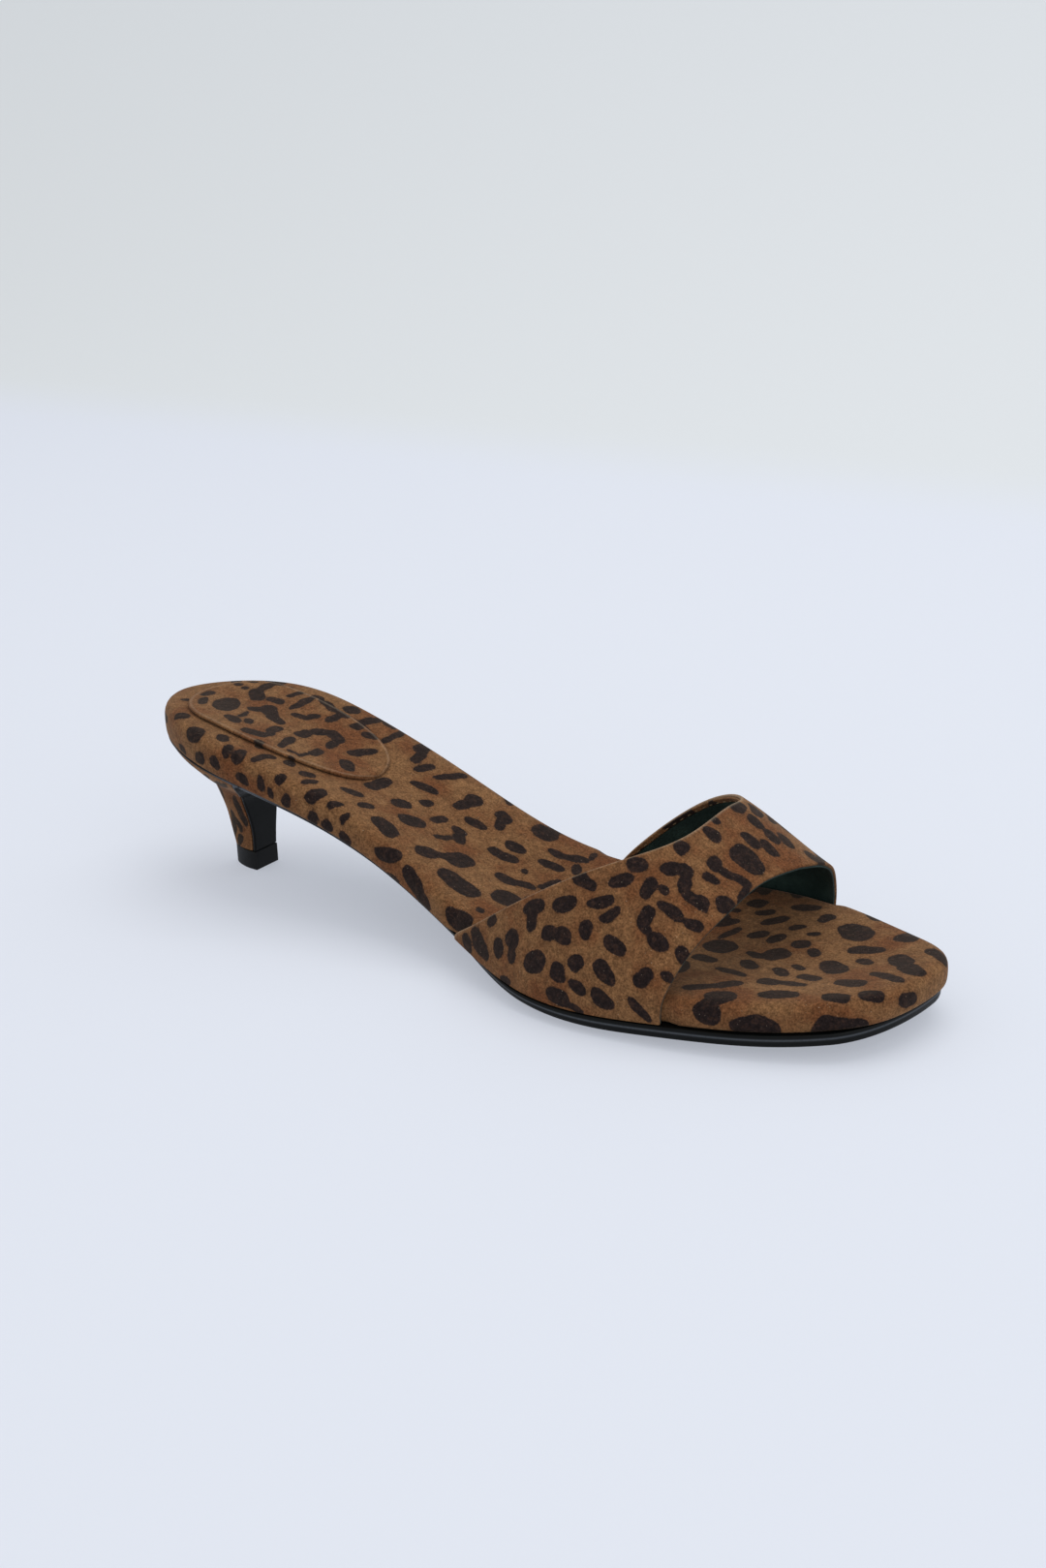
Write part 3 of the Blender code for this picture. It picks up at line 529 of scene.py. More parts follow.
class Nodes:
    """Builds one node tree, node by node."""

    def __init__(self, tree: NodeTree) -> None:
        """Starts on an existing tree."""
        self.tree = tree

    def fill(self, node: Node, inputs: dict[str | int, object]) -> None:
        """Sets a node's inputs: other nodes' outputs are linked and values are typed in.

        Args:
            node: The node.
            inputs: Outputs and values by the input's name or place.
        """
        for name, value in inputs.items():
            if isinstance(value, NodeSocket):
                self.tree.links.new(value, node.inputs[name])
            else:
                node.inputs[name].default_value = value

    def add(self, kind: str, inputs: dict[str | int, object] | None = None, **settings: object) -> Node:
        """A new node.

        Args:
            kind: The node's type.
            inputs: Its inputs, as in fill.
            settings: Its settings by name.

        Returns:
            The node.
        """
        node = self.tree.nodes.new(kind)
        for name, value in settings.items():
            setattr(node, name, value)
        self.fill(node, inputs or {})
        return node

    def math(self, operation: str, first: object, second: object, third: object = 0.0) -> NodeSocket:
        """The result of one sum on up to three values."""
        return self.add("ShaderNodeMath", {0: first, 1: second, 2: third}, operation=operation).outputs[0]

    def mix(self, share: object, first: object, second: object) -> NodeSocket:
        """A colour between two colours."""
        return self.add("ShaderNodeMix", {0: share, 6: first, 7: second}, data_type="RGBA").outputs[2]

    def noise(self, where: object, scale: object, detail: float, roughness: float = 0.55) -> NodeSocket:
        """Cloudy noise with the given number of waves to a metre."""
        inputs = {"Vector": where, "Scale": scale, "Detail": detail, "Roughness": roughness}
        return self.add("ShaderNodeTexNoise", inputs).outputs["Fac"]

    def ramp(
        self, value: object, low: float, high: float, start: float = 0.0, end: float = 1.0
    ) -> NodeSocket:
        """A value carried softly from the range low to high onto start to end, and held at the ends."""
        inputs = {"Value": value, "From Min": low, "From Max": high, "To Min": start, "To Max": end}
        return self.add("ShaderNodeMapRange", inputs, interpolation_type="SMOOTHSTEP").outputs["Result"]


def colour(red: float, green: float, blue: float) -> tuple[float, float, float, float]:
    """A colour as light.

    Args:
        red: The display value of red, from 0 to 255.
        green: That of green.
        blue: That of blue.

    Returns:
        Red, green, blue and an alpha of one.
    """
    shares = np.array([red, green, blue]) / 255
    light = np.where(shares > 0.04045, ((shares + 0.055) / 1.055) ** 2.4, shares / 12.92)
    return (*light.tolist(), 1.0)


def new_group(name: str, colours: str, numbers: str) -> tuple[Nodes, bpy.types.bpy_prop_collection, Node]:
    """An empty node group that puts out a colour, a roughness and a height.

    Args:
        name: The group's name.
        colours: Names of its colour inputs, apart by spaces.
        numbers: Names of its number inputs, apart by spaces.

    Returns:
        The builder of its tree, its inputs to read, and the node that takes what it puts out.
    """
    tree = bpy.data.node_groups.new(name, "ShaderNodeTree")
    for side, kind, labels in (
        ("INPUT", "NodeSocketColor", colours),
        ("INPUT", "NodeSocketFloat", numbers),
        ("OUTPUT", "NodeSocketColor", "Color"),
        ("OUTPUT", "NodeSocketFloat", "Roughness Height"),
    ):
        for label in labels.split():
            tree.interface.new_socket(name=label, in_out=side, socket_type=kind)
    nodes = Nodes(tree)
    return nodes, nodes.add("NodeGroupInput").outputs, nodes.add("NodeGroupOutput")


@dataclass(frozen=True)
class Nap:
    """Suede's nap and print as a node group, from noise of several sizes."""

    broad: float = 17 * MM
    cloud: float = 5 * MM
    tuft: float = 1.5 * MM
    fibre: float = 0.55 * MM
    fringe: float = 0.7 * MM
    fleck: float = 0.42 * MM
    fringe_reach: float = 0.8

    def build(self) -> NodeTree:
        """The group: blotches under fringed spots, shaded by tufts and fibres, with flecks of painted glint
        and painted highlights along edges.

        Returns:
            The group's tree.
        """
        nodes, given, end = new_group("printed suede", "Light Dark Red Ink Dust", "Distance Edge")
        where = nodes.add("ShaderNodeTexCoord").outputs["Object"]
        broad = nodes.noise(where, 1 / self.broad, 4)
        cloud = nodes.noise(where, 1 / self.cloud, 5, 0.62)
        tuft = nodes.noise(where, 1 / self.tuft, 4, 0.7)
        fibre = nodes.noise(where, 1 / self.fibre, 3, 0.7)
        fringe = nodes.noise(where, 1 / self.fringe, 4, 0.7)
        fleck = nodes.noise(where, 1 / self.fleck, 1, 0.5)
        ground = nodes.mix(nodes.ramp(cloud, 0.26, 0.72, 0.4, 1), given["Dark"], given["Light"])
        ground = nodes.mix(nodes.ramp(broad, 0.42, 0.66, 0, 0.85), ground, given["Red"])
        uneven = nodes.math("SUBTRACT", fringe, 0.5)
        away = nodes.math("MULTIPLY_ADD", uneven, self.fringe_reach, given["Distance"])
        ground = nodes.mix(nodes.ramp(away, 0.1, 1.3, 0.35, 0), ground, given["Dark"])
        ink = nodes.mix(nodes.ramp(tuft, 0.45, 0.8, 0, 0.22), given["Ink"], given["Dark"])
        coat = nodes.mix(nodes.ramp(away, -0.1, 0.3, 1, 0), ground, ink)
        tufted = nodes.math("MULTIPLY_ADD", nodes.ramp(tuft, 0.3, 0.7), 0.46, 0.77)
        fibrous = nodes.math("MULTIPLY_ADD", nodes.ramp(fibre, 0.28, 0.72), 0.84, 0.58)
        shade = nodes.math("MULTIPLY", tufted, fibrous)
        shaded = nodes.add("ShaderNodeVectorMath", {0: coat, "Scale": shade}, operation="SCALE").outputs[0]
        # Pale flecks of painted glint, where the nap would catch the light.
        glinted = nodes.mix(nodes.ramp(fleck, 0.74, 0.8, 0, 0.4), shaded, given["Dust"])
        # A painted highlight along edges, made ragged by the fibres.
        frayed_highlight = nodes.math("MULTIPLY", given["Edge"], nodes.ramp(fibre, 0.2, 0.6, 0.35, 1))
        height = nodes.math("MULTIPLY_ADD", tuft, 1.0, nodes.math("MULTIPLY", fibre, 0.5))
        nodes.fill(end, {
            "Color": nodes.mix(frayed_highlight, glinted, given["Dust"]),
            "Roughness": nodes.ramp(fibre, 0.3, 0.7, 1.0, 0.88),
            "Height": nodes.math("MULTIPLY_ADD", cloud, 1.2, height),
        })
        return nodes.tree


@dataclass(frozen=True)
class Grain:
    """The fine grain of leather, rubber and thread as a node group."""

    cloud: float = 9 * MM
    uneven: float = 0.18

    def build(self) -> NodeTree:
        """The group: two tones mixed in clouds, a line of painted highlight over them, and a height for the
        grain.

        Returns:
            The group's tree.
        """
        nodes, given, end = new_group("fine grain", "Base Worn Lit", "Line Scale Smoothest")
        where = nodes.add("ShaderNodeTexCoord").outputs["Object"]
        cloud = nodes.noise(where, 1 / self.cloud, 4)
        grain = nodes.noise(where, given["Scale"], 4, 0.65)
        tone = nodes.mix(nodes.ramp(cloud, 0.4, 0.75), given["Base"], given["Worn"])
        # A painted highlight where a piece's line measure is set, broken up by the grain.
        highlighted = nodes.math("MULTIPLY", given["Line"], nodes.ramp(grain, 0.2, 0.6, 0.6, 1))
        dull = nodes.ramp(nodes.math("ADD", cloud, grain), 0.7, 1.4)
        nodes.fill(end, {
            "Color": nodes.mix(highlighted, tone, given["Lit"]),
            "Roughness": nodes.math("MULTIPLY_ADD", dull, self.uneven, given["Smoothest"]),
            "Height": grain,
        })
        return nodes.tree


def coated(
    name: str,
    group: NodeTree,
    inputs: dict[str, object],
    measures: dict[str, str],
    relief: float,
    own: dict[str, object],
) -> Material:
    """A material whose colour, roughness and relief come from a node group.

    Args:
        name: The material's name.
        group: The node group.
        inputs: Values of the group's inputs.
        measures: The group's inputs that are read from the piece, with the measure's name.
        relief: Height of the relief.
        own: Values of the shader's own inputs.

    Returns:
        The material.
    """
    material = bpy.data.materials.new(name)
    material.use_nodes = True
    nodes = Nodes(material.node_tree)
    read = {
        label: nodes.add("ShaderNodeAttribute", attribute_name=measure).outputs["Fac"]
        for label, measure in measures.items()
    }
    coat = nodes.add("ShaderNodeGroup", inputs | read, node_tree=group)
    bump = nodes.add("ShaderNodeBump", {"Height": coat.outputs["Height"], "Distance": relief})
    feeds = {
        "Base Color": coat.outputs["Color"],
        "Roughness": coat.outputs["Roughness"],
        "Normal": bump.outputs["Normal"],
    }
    nodes.fill(material.node_tree.nodes["Principled BSDF"], feeds | own)
    return material


@dataclass(frozen=True)
class SuedeFinish:
    """Tan suede with a dark brown print and a short nap."""

    name: str
    light: tuple[float, ...] = colour(122, 88, 57)
    dark: tuple[float, ...] = colour(92, 61, 38)
    red: tuple[float, ...] = colour(96, 56, 32)
    ink: tuple[float, ...] = colour(30, 22, 22)
    # The pale colour of painted glints on the nap and of painted highlights along edges.
    dust: tuple[float, ...] = colour(190, 170, 145)
    relief: float = 0.16 * MM
    gloss: float = 0.1
    sheen: float = 0.11
    sheen_roughness: float = 0.45
    sheen_tint: tuple[float, ...] = colour(255, 226, 196)

    def build(self, group: NodeTree) -> Material:
        """The material.

        Args:
            group: The nap's node group.

        Returns:
            The material.
        """
        inputs = {"Light": self.light, "Dark": self.dark, "Red": self.red, "Ink": self.ink, "Dust": self.dust}
        own = {
            "Specular IOR Level": self.gloss,
            "Sheen Weight": self.sheen,
            "Sheen Roughness": self.sheen_roughness,
            "Sheen Tint": self.sheen_tint,
        }
        return coated(self.name, group, inputs, {"Distance": "spot", "Edge": "edge_highlight"}, self.relief, own)


@dataclass(frozen=True)
class SmoothFinish:
    """A smooth finish with fine grain: sole leather, rubber, lining or thread."""

    name: str
    base: tuple[float, ...]
    worn: tuple[float, ...]
    smoothest: float
    grain: float
    relief: float
    gloss: float
    lit: tuple[float, ...] = colour(60, 62, 66)

    def build(self, group: NodeTree) -> Material:
        """The material.

        Args:
            group: The grain's node group.

        Returns:
            The material.
        """
        inputs = {
            "Base": self.base,
            "Worn": self.worn,
            "Lit": self.lit,
            "Scale": 1 / self.grain,
            "Smoothest": self.smoothest,
        }
        own = {"Specular IOR Level": self.gloss}
        return coated(self.name, group, inputs, {"Line": "line"}, self.relief, own)


@dataclass(frozen=True)
class Footbed:
    """The wrapped footbed: flat underside, rolled edge and dished top."""

    last: Last
    chart: Print
    heel_bed: float = 9.7 * MM
    toe_bed: float = 7.4 * MM
    roll: float = 4.2 * MM
    heel_dish: float = 1.4 * MM
    toe_dish: float = 2.2 * MM
    inset: float = 0.3 * MM
    blend: float = 0.65
    roll_deep: float = 0.7
    roll_high: float = 0.8
    under_roll: float = 0.22
    vamp_recess: float = 1.5 * MM
    cover_run: float = 5 * MM
    stations: int = 400
    under_columns: int = 5
    roll_columns: int = 15
    top_columns: int = 40

    def rim(self, x: Array) -> Array:
        """Thickness at the rim, from heel to toe."""
        along = smooth_step(x / (self.blend * self.last.length))
        return self.heel_bed + (self.toe_bed - self.heel_bed) * along

    def top(self, x: Array, depth: Array, reach: Array) -> Array:
        """Height of the top: the feather plus the rim, less a dish that deepens softly from the roll inwards.

        Args:
            x: Distances along the foot.
            depth: Distances in from the edge.
            reach: The spine's distances to the edge.

        Returns:
            The heights.
        """
        dish = self.heel_dish + (self.toe_dish - self.heel_dish) * smooth_step(x / self.last.length)
        inwards = smooth_step((depth - self.roll) / (reach - self.roll))
        return self.last.feather(x) + self.rim(x) - dish * inwards

    def recess(self, x: Array, side: Side) -> Array:
        """How far the edge is drawn in where the vamp lies against it, which starts and ends softly.

        Args:
            x: Distances along the foot.
            side: The side of the foot.

        Returns:
            The depths.
        """
        number = 0 if side is Side.OUTER else 1
        rear, front = self.last.rear_corners[number], self.last.front_corners[number]
        cover = smooth_step((x - rear) / self.cover_run + 1) * smooth_step((front - x) / self.cover_run + 1)
        return self.vamp_recess * cover

    def half(self, turn: Array, side: Side) -> tuple[Array, Array]:
        """Half of every section, from the middle of the underside to the middle of the top.

        Args:
            turn: Shares of the turn, one a row.
            side: The side of the foot.

        Returns:
            The points, and their places on the suede laid flat, which unrolls each section from the spine.
        """
        last = self.last
        under = np.linspace(0, 1, self.under_columns, endpoint=False)[None, :]
        roll = np.radians(np.linspace(-90, 90, self.roll_columns))[None, :]
        over = np.linspace(1, 0, self.top_columns, endpoint=False)[::-1][None, :]
        edge_x = last.place_of(turn)
        inset = self.inset + self.recess(edge_x, side)
        _, _, reach = last.plan(turn, side, 1.0)
        roll_in = self.roll * (1 - np.cos(roll) ** self.roll_deep)
        roll_in = np.where(roll < 0, roll_in * self.under_roll, roll_in)
        roll_up = (1 + np.sign(np.sin(roll)) * np.abs(np.sin(roll)) ** self.roll_high) / 2
        depth = np.concatenate([
            reach + (inset + roll_in[:, :1] - reach) * under,
            inset + roll_in,
            inset + self.roll + (reach - inset - self.roll) * over,
        ], axis=1)
        x, y, _ = last.plan(turn, side, 1 - depth / reach)
        low = last.feather(x)
        z = self.top(x, np.maximum(depth - inset, self.roll), reach - inset)
        first, end = self.under_columns, self.under_columns + self.roll_columns
        z[:, first:end] = low[:, first:end] + (z[:, first:end] - low[:, first:end]) * roll_up
        z[:, :first] = low[:, :first]
        points = np.stack([x, y, z], axis=-1)
        return points, self.laid_flat(points, turn, side)

    def laid_flat(self, points: Array, turn: Array, side: Side) -> Array:
        """Places on the flat suede: the spine plus the length of the section out to the point.

        Args:
            points: Half of every section.
            turn: Shares of the turn, one a row.
            side: The side of the foot.

        Returns:
            The places, x and y.
        """
        out = run_of(points[:, ::-1])[:, ::-1, None]
        spine = np.stack(self.last.spine(turn), axis=-1)
        edge = np.stack([self.last.place_of(turn), self.last.outline(turn, side)], axis=-1)
        way = (edge - spine) / np.linalg.norm(edge - spine, axis=-1, keepdims=True)
        return spine + way * out

    def build(self, shop: Workshop, material: Material) -> Object:
        """The footbed as rings round the foot, one a station, each an outer and an inner half.

        Args:
            shop: Where it is finished.
            material: Its suede.

        Returns:
            The piece.
        """
        turn = np.linspace(0, 1, self.stations + 1)[:, None]
        rings, lay = (ring_of(*halves) for halves in zip(*(self.half(turn, side) for side in Side)))
        measures = {"spot": self.chart.distance(lay)}
        return shop.piece("footbed_suede", rings, material, Slot.SUEDE, ("footbed",), measures)


@dataclass(frozen=True)
class HeelSock:
    """The oval sock on the footbed's heel: a thin pad with a rounded rim."""

    bed: Footbed
    setback: float = 11 * MM
    length: float = 65.4 * MM
    width: float = 37 * MM
    thickness: float = 1.15 * MM
    shoulder: float = 42 * MM
    point: float = 3
    fullness: float = 2.5
    rim: float = 0.9 * MM
    full_reach: float = 6 * MM
    # How far painted shade reaches beside the rim, and the share, place and width of the painted highlight on
    # its top.
    rim_shade: float = 0.35
    rim_highlight: tuple[float, float, float] = (0.17, 0.75, 0.35)
    stations: int = 190
    top_columns: int = 34
    rim_columns: int = 9

    def reach(self, turn: Array) -> Array:
        """Distance from the spine to the sock's rim: a round back that grows into a full oval.

        Args:
            turn: Shares of the turn.

        Returns:
            The distances.
        """
        last = self.bed.last
        x = last.place_of(turn)
        back = last.heel_round - self.setback
        run = np.clip((x - last.heel_round) / (self.length - back), 0, 1)
        half = self.width / 2 * (1 - run**self.point) ** (1 / self.fullness)
        return back + (half - back) * smooth_step(x / self.shoulder)

    def half(self, turn: Array, side: Side) -> tuple[Array, Array, Array]:
        """Half of every section, from the underside's middle out and back over the top.

        Args:
            turn: Shares of the turn, one a row.
            side: The side of the foot.

        Returns:
            The points, their places on the flat suede, and their distance in from the rim in millimetres.
        """
        last, bed = self.bed.last, self.bed
        swell = np.radians(np.linspace(-90, 90, self.rim_columns))[None, :]
        inward = np.linspace(0, 1, self.top_columns + 1)[None, 1:]
        sock = self.reach(turn)
        _, _, reach = last.plan(turn, side, 1.0)
        rim = np.minimum(self.rim, 0.5 * sock)
        out = np.concatenate([
            (sock - rim) * (1 - inward[:, ::-1]),
            sock - rim * (1 - np.cos(swell)),
            (sock - rim) * (1 - inward),
        ], axis=1)
        up = np.concatenate([0 * inward, (1 + np.sin(swell)) / 2, 1 + 0 * inward], axis=1)
        x, y, _ = last.plan(turn, side, out / reach)
        floor = bed.top(x, np.maximum(reach - out - bed.inset, bed.roll), reach - bed.inset) + last.gap
        full = np.minimum(1, 0.2 + sock / self.full_reach)
        points = np.stack([x, y, floor + self.thickness * full * up], axis=-1)
        return points, np.stack([x, y], axis=-1), np.where(up > 0.02, (sock - out) / MM, 9)

    def build(self, shop: Workshop, material: Material) -> Object:
        """The sock as rings, one a station, which crowd together towards its front.

        Painted shade darkens the print beside the rim, and a bell curve paints a highlight along the top of
        the rim.

        Args:
            shop: Where it is finished.
            material: Its suede.

        Returns:
            The piece.
        """
        end = self.bed.last.turn_of(self.setback + self.length)
        turn = end * np.sin(np.linspace(0, np.pi / 2, self.stations))[:, None]
        rings, lay, rim = (ring_of(*halves) for halves in zip(*(self.half(turn, side) for side in Side)))
        share, place, width = self.rim_highlight
        # Painted shade beside the rim, through the print's distance, and a painted highlight on the rim's
        # top.
        measures = {
            "spot": np.minimum(self.bed.chart.distance(lay), self.rim_shade + np.abs(rim - 0.1)),
            "edge_highlight": share * np.exp(-(((rim - place) / width) ** 2)),
        }
        piece = shop.piece("heel_sock_suede", rings, material, Slot.SUEDE, ("heel_sock",), measures)
        return piece


@dataclass(frozen=True)
class Vamp:
    """The band over the foot: suede outside, lining inside, and a turned strip of suede at the rear edge."""

    last: Last
    chart: Print
    strip_chart: Print
    wall: float = 1.5 * MM
    bulge: float = 0.8 * MM
    bulge_power: float = 6
    instep_height: float = 40.6 * MM
    crest_shift: float = 7.7 * MM
    outer_fullness: float = 1.98
    inner_fullness: float = 1.84
    rear_crest: float = 188.5 * MM
    front_crest: float = 210.2 * MM
    rear_sweep: tuple[float, float] = (3.75, 2.9)
    front_places: tuple[float, ...] = (0.0, 0.05, 0.1, 0.2, 0.3, 0.4, 0.5, 0.6, 0.7, 0.8, 0.9, 0.95, 1.0)
    front_shares: tuple[float, ...] = (
        0.0, 0.03, 0.144, 0.388, 0.619, 0.763, 1.0, 1.175, 1.018, 0.579, 0.193, 0.05, 0.0,
    )
    crest_places: tuple[float, ...] = (0.50, 0.56, 0.62, 0.70, 0.76, 0.82, 0.88)
    crest_shares: tuple[float, ...] = (0.49, 0.94, 1.165, 1.17, 1.00, 0.76, 0.59)
    upright_share: float = 0.06
    # Width and share of the painted highlight along the rear edge.
    suede: float = 0.95 * MM
    edge_highlight_width: float = 0.9 * MM
    edge_highlight_share: float = 0.35
    strip_width: float = 1.9 * MM
    edge_gap: float = 0.2 * MM
    steepest: float = 2.5
    layer_gap: float = 0.03 * MM
    lining_start: float = 0.1 * MM
    lining_end: float = 0.25 * MM
    strip_start: float = 0.06 * MM
    strip_proud: float = 0.1 * MM
    strip_lay: tuple[float, float, float] = (95 * MM, -108 * MM, 0.6)
    # Width and share of the painted highlight on the lining along the front edge.
    rim_highlight_width: float = 2.2 * MM
    rim_highlight_share: float = 0.5
    stitch_inset: float = 0.5 * MM
    stitch_lift: float = 0.14 * MM
    stitch_ends: tuple[float, float] = (0.03, 0.97)
    stitch_step: float = 3.3 * MM
    stitch_length: float = 1.3 * MM
    stitch_width: float = 0.36 * MM
    columns: int = 300
    lay_rows: int = 89
    lay_columns: int = 720

    def rear_edge(self, around: Array) -> Array:
        """The rear edge's x: the crest less its drop to a side, times a power of the cosine of the turn.

        Args:
            around: Shares of the way from the outer feather to the inner one.

        Returns:
            The edge's places along the foot.
        """
        lean = np.abs(np.cos(np.pi * around))
        outer, inner = (
            (self.rear_crest - corner) * lean**sweep
            for corner, sweep in zip(self.last.rear_corners, self.rear_sweep)
        )
        return self.rear_crest - np.where(around < 0.5, outer, inner)

    def front_edge(self, around: Array) -> Array:
        """The front edge's x: a spline through shares of the way from each side's corner to the crest.

        Args:
            around: Shares of the way from the outer feather to the inner one.

        Returns:
            The edge's places along the foot.
        """
        places = np.array(self.front_places)
        corner = np.where(places < 0.5, *self.last.front_corners)
        return spline(places, corner + (self.front_crest - corner) * np.array(self.front_shares), around)

    def surface(self, x: Array, around: Array) -> Array:
        """The outer face: a half oval from feather to feather whose height follows the instep.

        Args:
            x: Distance along the foot.
            around: 0 at the outer feather, 0.5 at the crest, 1 at the inner feather.

        Returns:
            The points.
        """
        last = self.last
        side = np.where(around < 0.5, -1, 1)
        crest = self.instep_height * spline(self.crest_places, self.crest_shares, x / last.length)
        power = 2 / np.where(side < 0, self.outer_fullness, self.inner_fullness)
        lean = np.abs(np.cos(np.pi * around)) ** power
        rise = np.abs(np.sin(np.pi * around)) ** power
        edge = last.outline(last.turn_of(x), side) + side * self.bulge * (1 - (1 - rise) ** self.bulge_power)
        y = self.crest_shift + (edge - self.crest_shift) * lean
        return np.stack([x, y, last.feather(x) + crest * rise], axis=-1)

    def inside(self, x: Array, around: Array, depth: Array) -> Array:
        """Points below the outer face: the face less the depth times its normal, upright near the feather.

        Args:
            x: Distances along the foot.
            around: Shares of the way from the outer feather to the inner one.
            depth: Depths below the outer face.

        Returns:
            The points.
        """
        step_x, step_around = 0.4 * MM, 0.002
        ahead = self.surface(x + step_x, around) - self.surface(x - step_x, around)
        low, high = np.clip(around - step_around, 0, 1), np.clip(around + step_around, 0, 1)
        normal = np.cross(ahead, self.surface(x, high) - self.surface(x, low))
        normal[..., 2] *= smooth_step(np.minimum(around, 1 - around) / self.upright_share)
        normal /= np.linalg.norm(normal, axis=-1, keepdims=True)
        return self.surface(x, around) - normal * np.asarray(depth)[..., None]

    def laid_flat(self, x: Array, around: Array) -> Array:
        """Places on the flat suede: x, and the length round the foot from the crest at that x.

        Args:
            x: Distances along the foot.
            around: Shares of the way from the outer feather to the inner one.

        Returns:
            The places, x and y.
        """
        rows, columns = self.lay_rows, self.lay_columns
        places, fine = np.linspace(x.min(), x.max(), rows + 1), np.linspace(0, 1, columns + 1)
        run = run_of(self.surface(*np.broadcast_arrays(places[:, None], fine[None, :])))
        run = run - run[:, columns // 2, None]
        row, column = (x - places[0]) / (places[-1] - places[0]) * rows, around * columns
        i, j = np.clip(row.astype(int), 0, rows - 1), np.clip(column.astype(int), 0, columns - 1)
        u, v = row - i, column - j
        left, right = (run[i, k] * (1 - u) + run[i + 1, k] * u for k in (j, j + 1))
        return np.stack([x, left * (1 - v) + right * v], axis=-1)

    def band(
        self,
        rear_in: float,
        front_in: float | None,
        depths: tuple[float, float],
        rows: int,
        width: float = 0.0,
    ) -> tuple[Array, Array, Array, Array]:
        """A closed shell of the band between two depths, with round edges and both ends drawn in to a line.

        Each ring is a flat loop: forward along the outer face, round the front edge, back along the inner
        face and round the rear edge.

        Args:
            rear_in: How far in from the rear edge it starts, square to that edge.
            front_in: How far short of the front edge it ends, or None to give it a width instead.
            depths: Depth of its outer and inner faces below the vamp's outer face.
            rows: Points along the band from rear to front.
            width: Its width from its rear edge where front_in is None.

        Returns:
            The rings with those of the ends, and the x, around and depth of each point between the ends.
        """
        around = np.linspace(0, 1, self.columns)[:, None]
        rear, front = self.rear_edge(around), self.front_edge(around)
        slant_rear, slant_front = self.slant(around, rear), self.slant(around, front)
        start = rear + rear_in * slant_rear
        stop = start + width * slant_rear if front_in is None else front - front_in * slant_front
        stop = np.minimum(stop, front - self.edge_gap)
        thick = depths[1] - depths[0]
        turn = np.radians(np.linspace(0, 180, 9))[None, 1:-1]
        along = np.linspace(0, 1, rows)[None, :]
        first, second = start + 0.5 * thick, stop - 0.5 * thick
        x = np.concatenate([
            first + (second - first) * along,
            second + 0.5 * thick * np.sin(turn),
            second + (first - second) * along,
            first - 0.5 * thick * np.sin(turn),
        ], axis=1)
        inwards = (1 - np.cos(turn)) / 2
        level = np.concatenate([0 * along, inwards, 1 + 0 * along, 1 - inwards], axis=1)
        depth = depths[0] + thick * level + 0 * x
        around = around + 0 * x
        rings = self.inside(x, around, depth)
        ends = (rings[[0, -1]] + rings[[0, -1], ::-1]) / 2
        return np.concatenate([ends[:1], rings, ends[1:]]), x, around, depth

    def slant(self, around: Array, x: Array) -> Array:
        """How much longer a width square to an edge is along x: the root of one plus its slope squared.

        Args:
            around: Shares of the way round the foot, one a row.
            x: The edge's places along the foot.

        Returns:
            The factors.
        """
        run = run_of(self.surface(x, around)[None, :, 0])[0]
        slope = np.gradient(x[:, 0], run)[:, None]
        return np.clip(np.sqrt(1 + slope**2), 1, self.steepest)

    def build(self, shop: Workshop, suede: Material, lining: Material, thread: Material) -> list[Object]:
        """The vamp's outer suede, its lining, its turned strip and the strip's stitches.

        Args:
            shop: Where they are finished.
            suede: The suede.
            lining: The lining's finish.
            thread: The stitches' finish.

        Returns:
            The pieces.
        """
        rings, x, around, depth = self.band(0.0, 0.0, (0.0, self.suede), 84)
        spots = self.chart.distance(self.laid_flat(x, around))
        # A painted highlight along the rear edge of the outer face.
        edge = smooth_step(1 - (x - self.rear_edge(around)) / self.edge_highlight_width)
        measures = {"spot": with_ends(spots), "edge_highlight": with_ends(self.edge_highlight_share * edge * (depth < self.suede))}
        outer = shop.piece("vamp_suede", rings, suede, Slot.SUEDE, ("vamp",), measures)
        under = self.suede + self.layer_gap
        start = self.strip_width + self.lining_start
        rings, x, around, _ = self.band(start, self.lining_end, (under, self.wall), 60)
        # A painted highlight on the lining along its front edge.
        rim = self.rim_highlight_share * smooth_step(1 - (self.front_edge(around) - x) / self.rim_highlight_width)
        inner = shop.piece("vamp_lining", rings, lining, Slot.SUEDE, (), {"line": with_ends(rim)})
        depths = (under, self.wall + self.strip_proud)
        rings, x, around, _ = self.band(self.strip_start, None, depths, 8, self.strip_width)
        lay = self.laid_flat(x, around)
        right, down, squeeze = self.strip_lay
        lay = np.stack([lay[..., 1] + right, lay[..., 0] * squeeze + down], axis=-1)
        measures = {"spot": with_ends(self.strip_chart.distance(lay))}
        strip = shop.piece("vamp_edge_strip", rings, suede, Slot.SUEDE, (), measures)
        return [outer, inner, strip, self.build_stitches(shop, thread)]

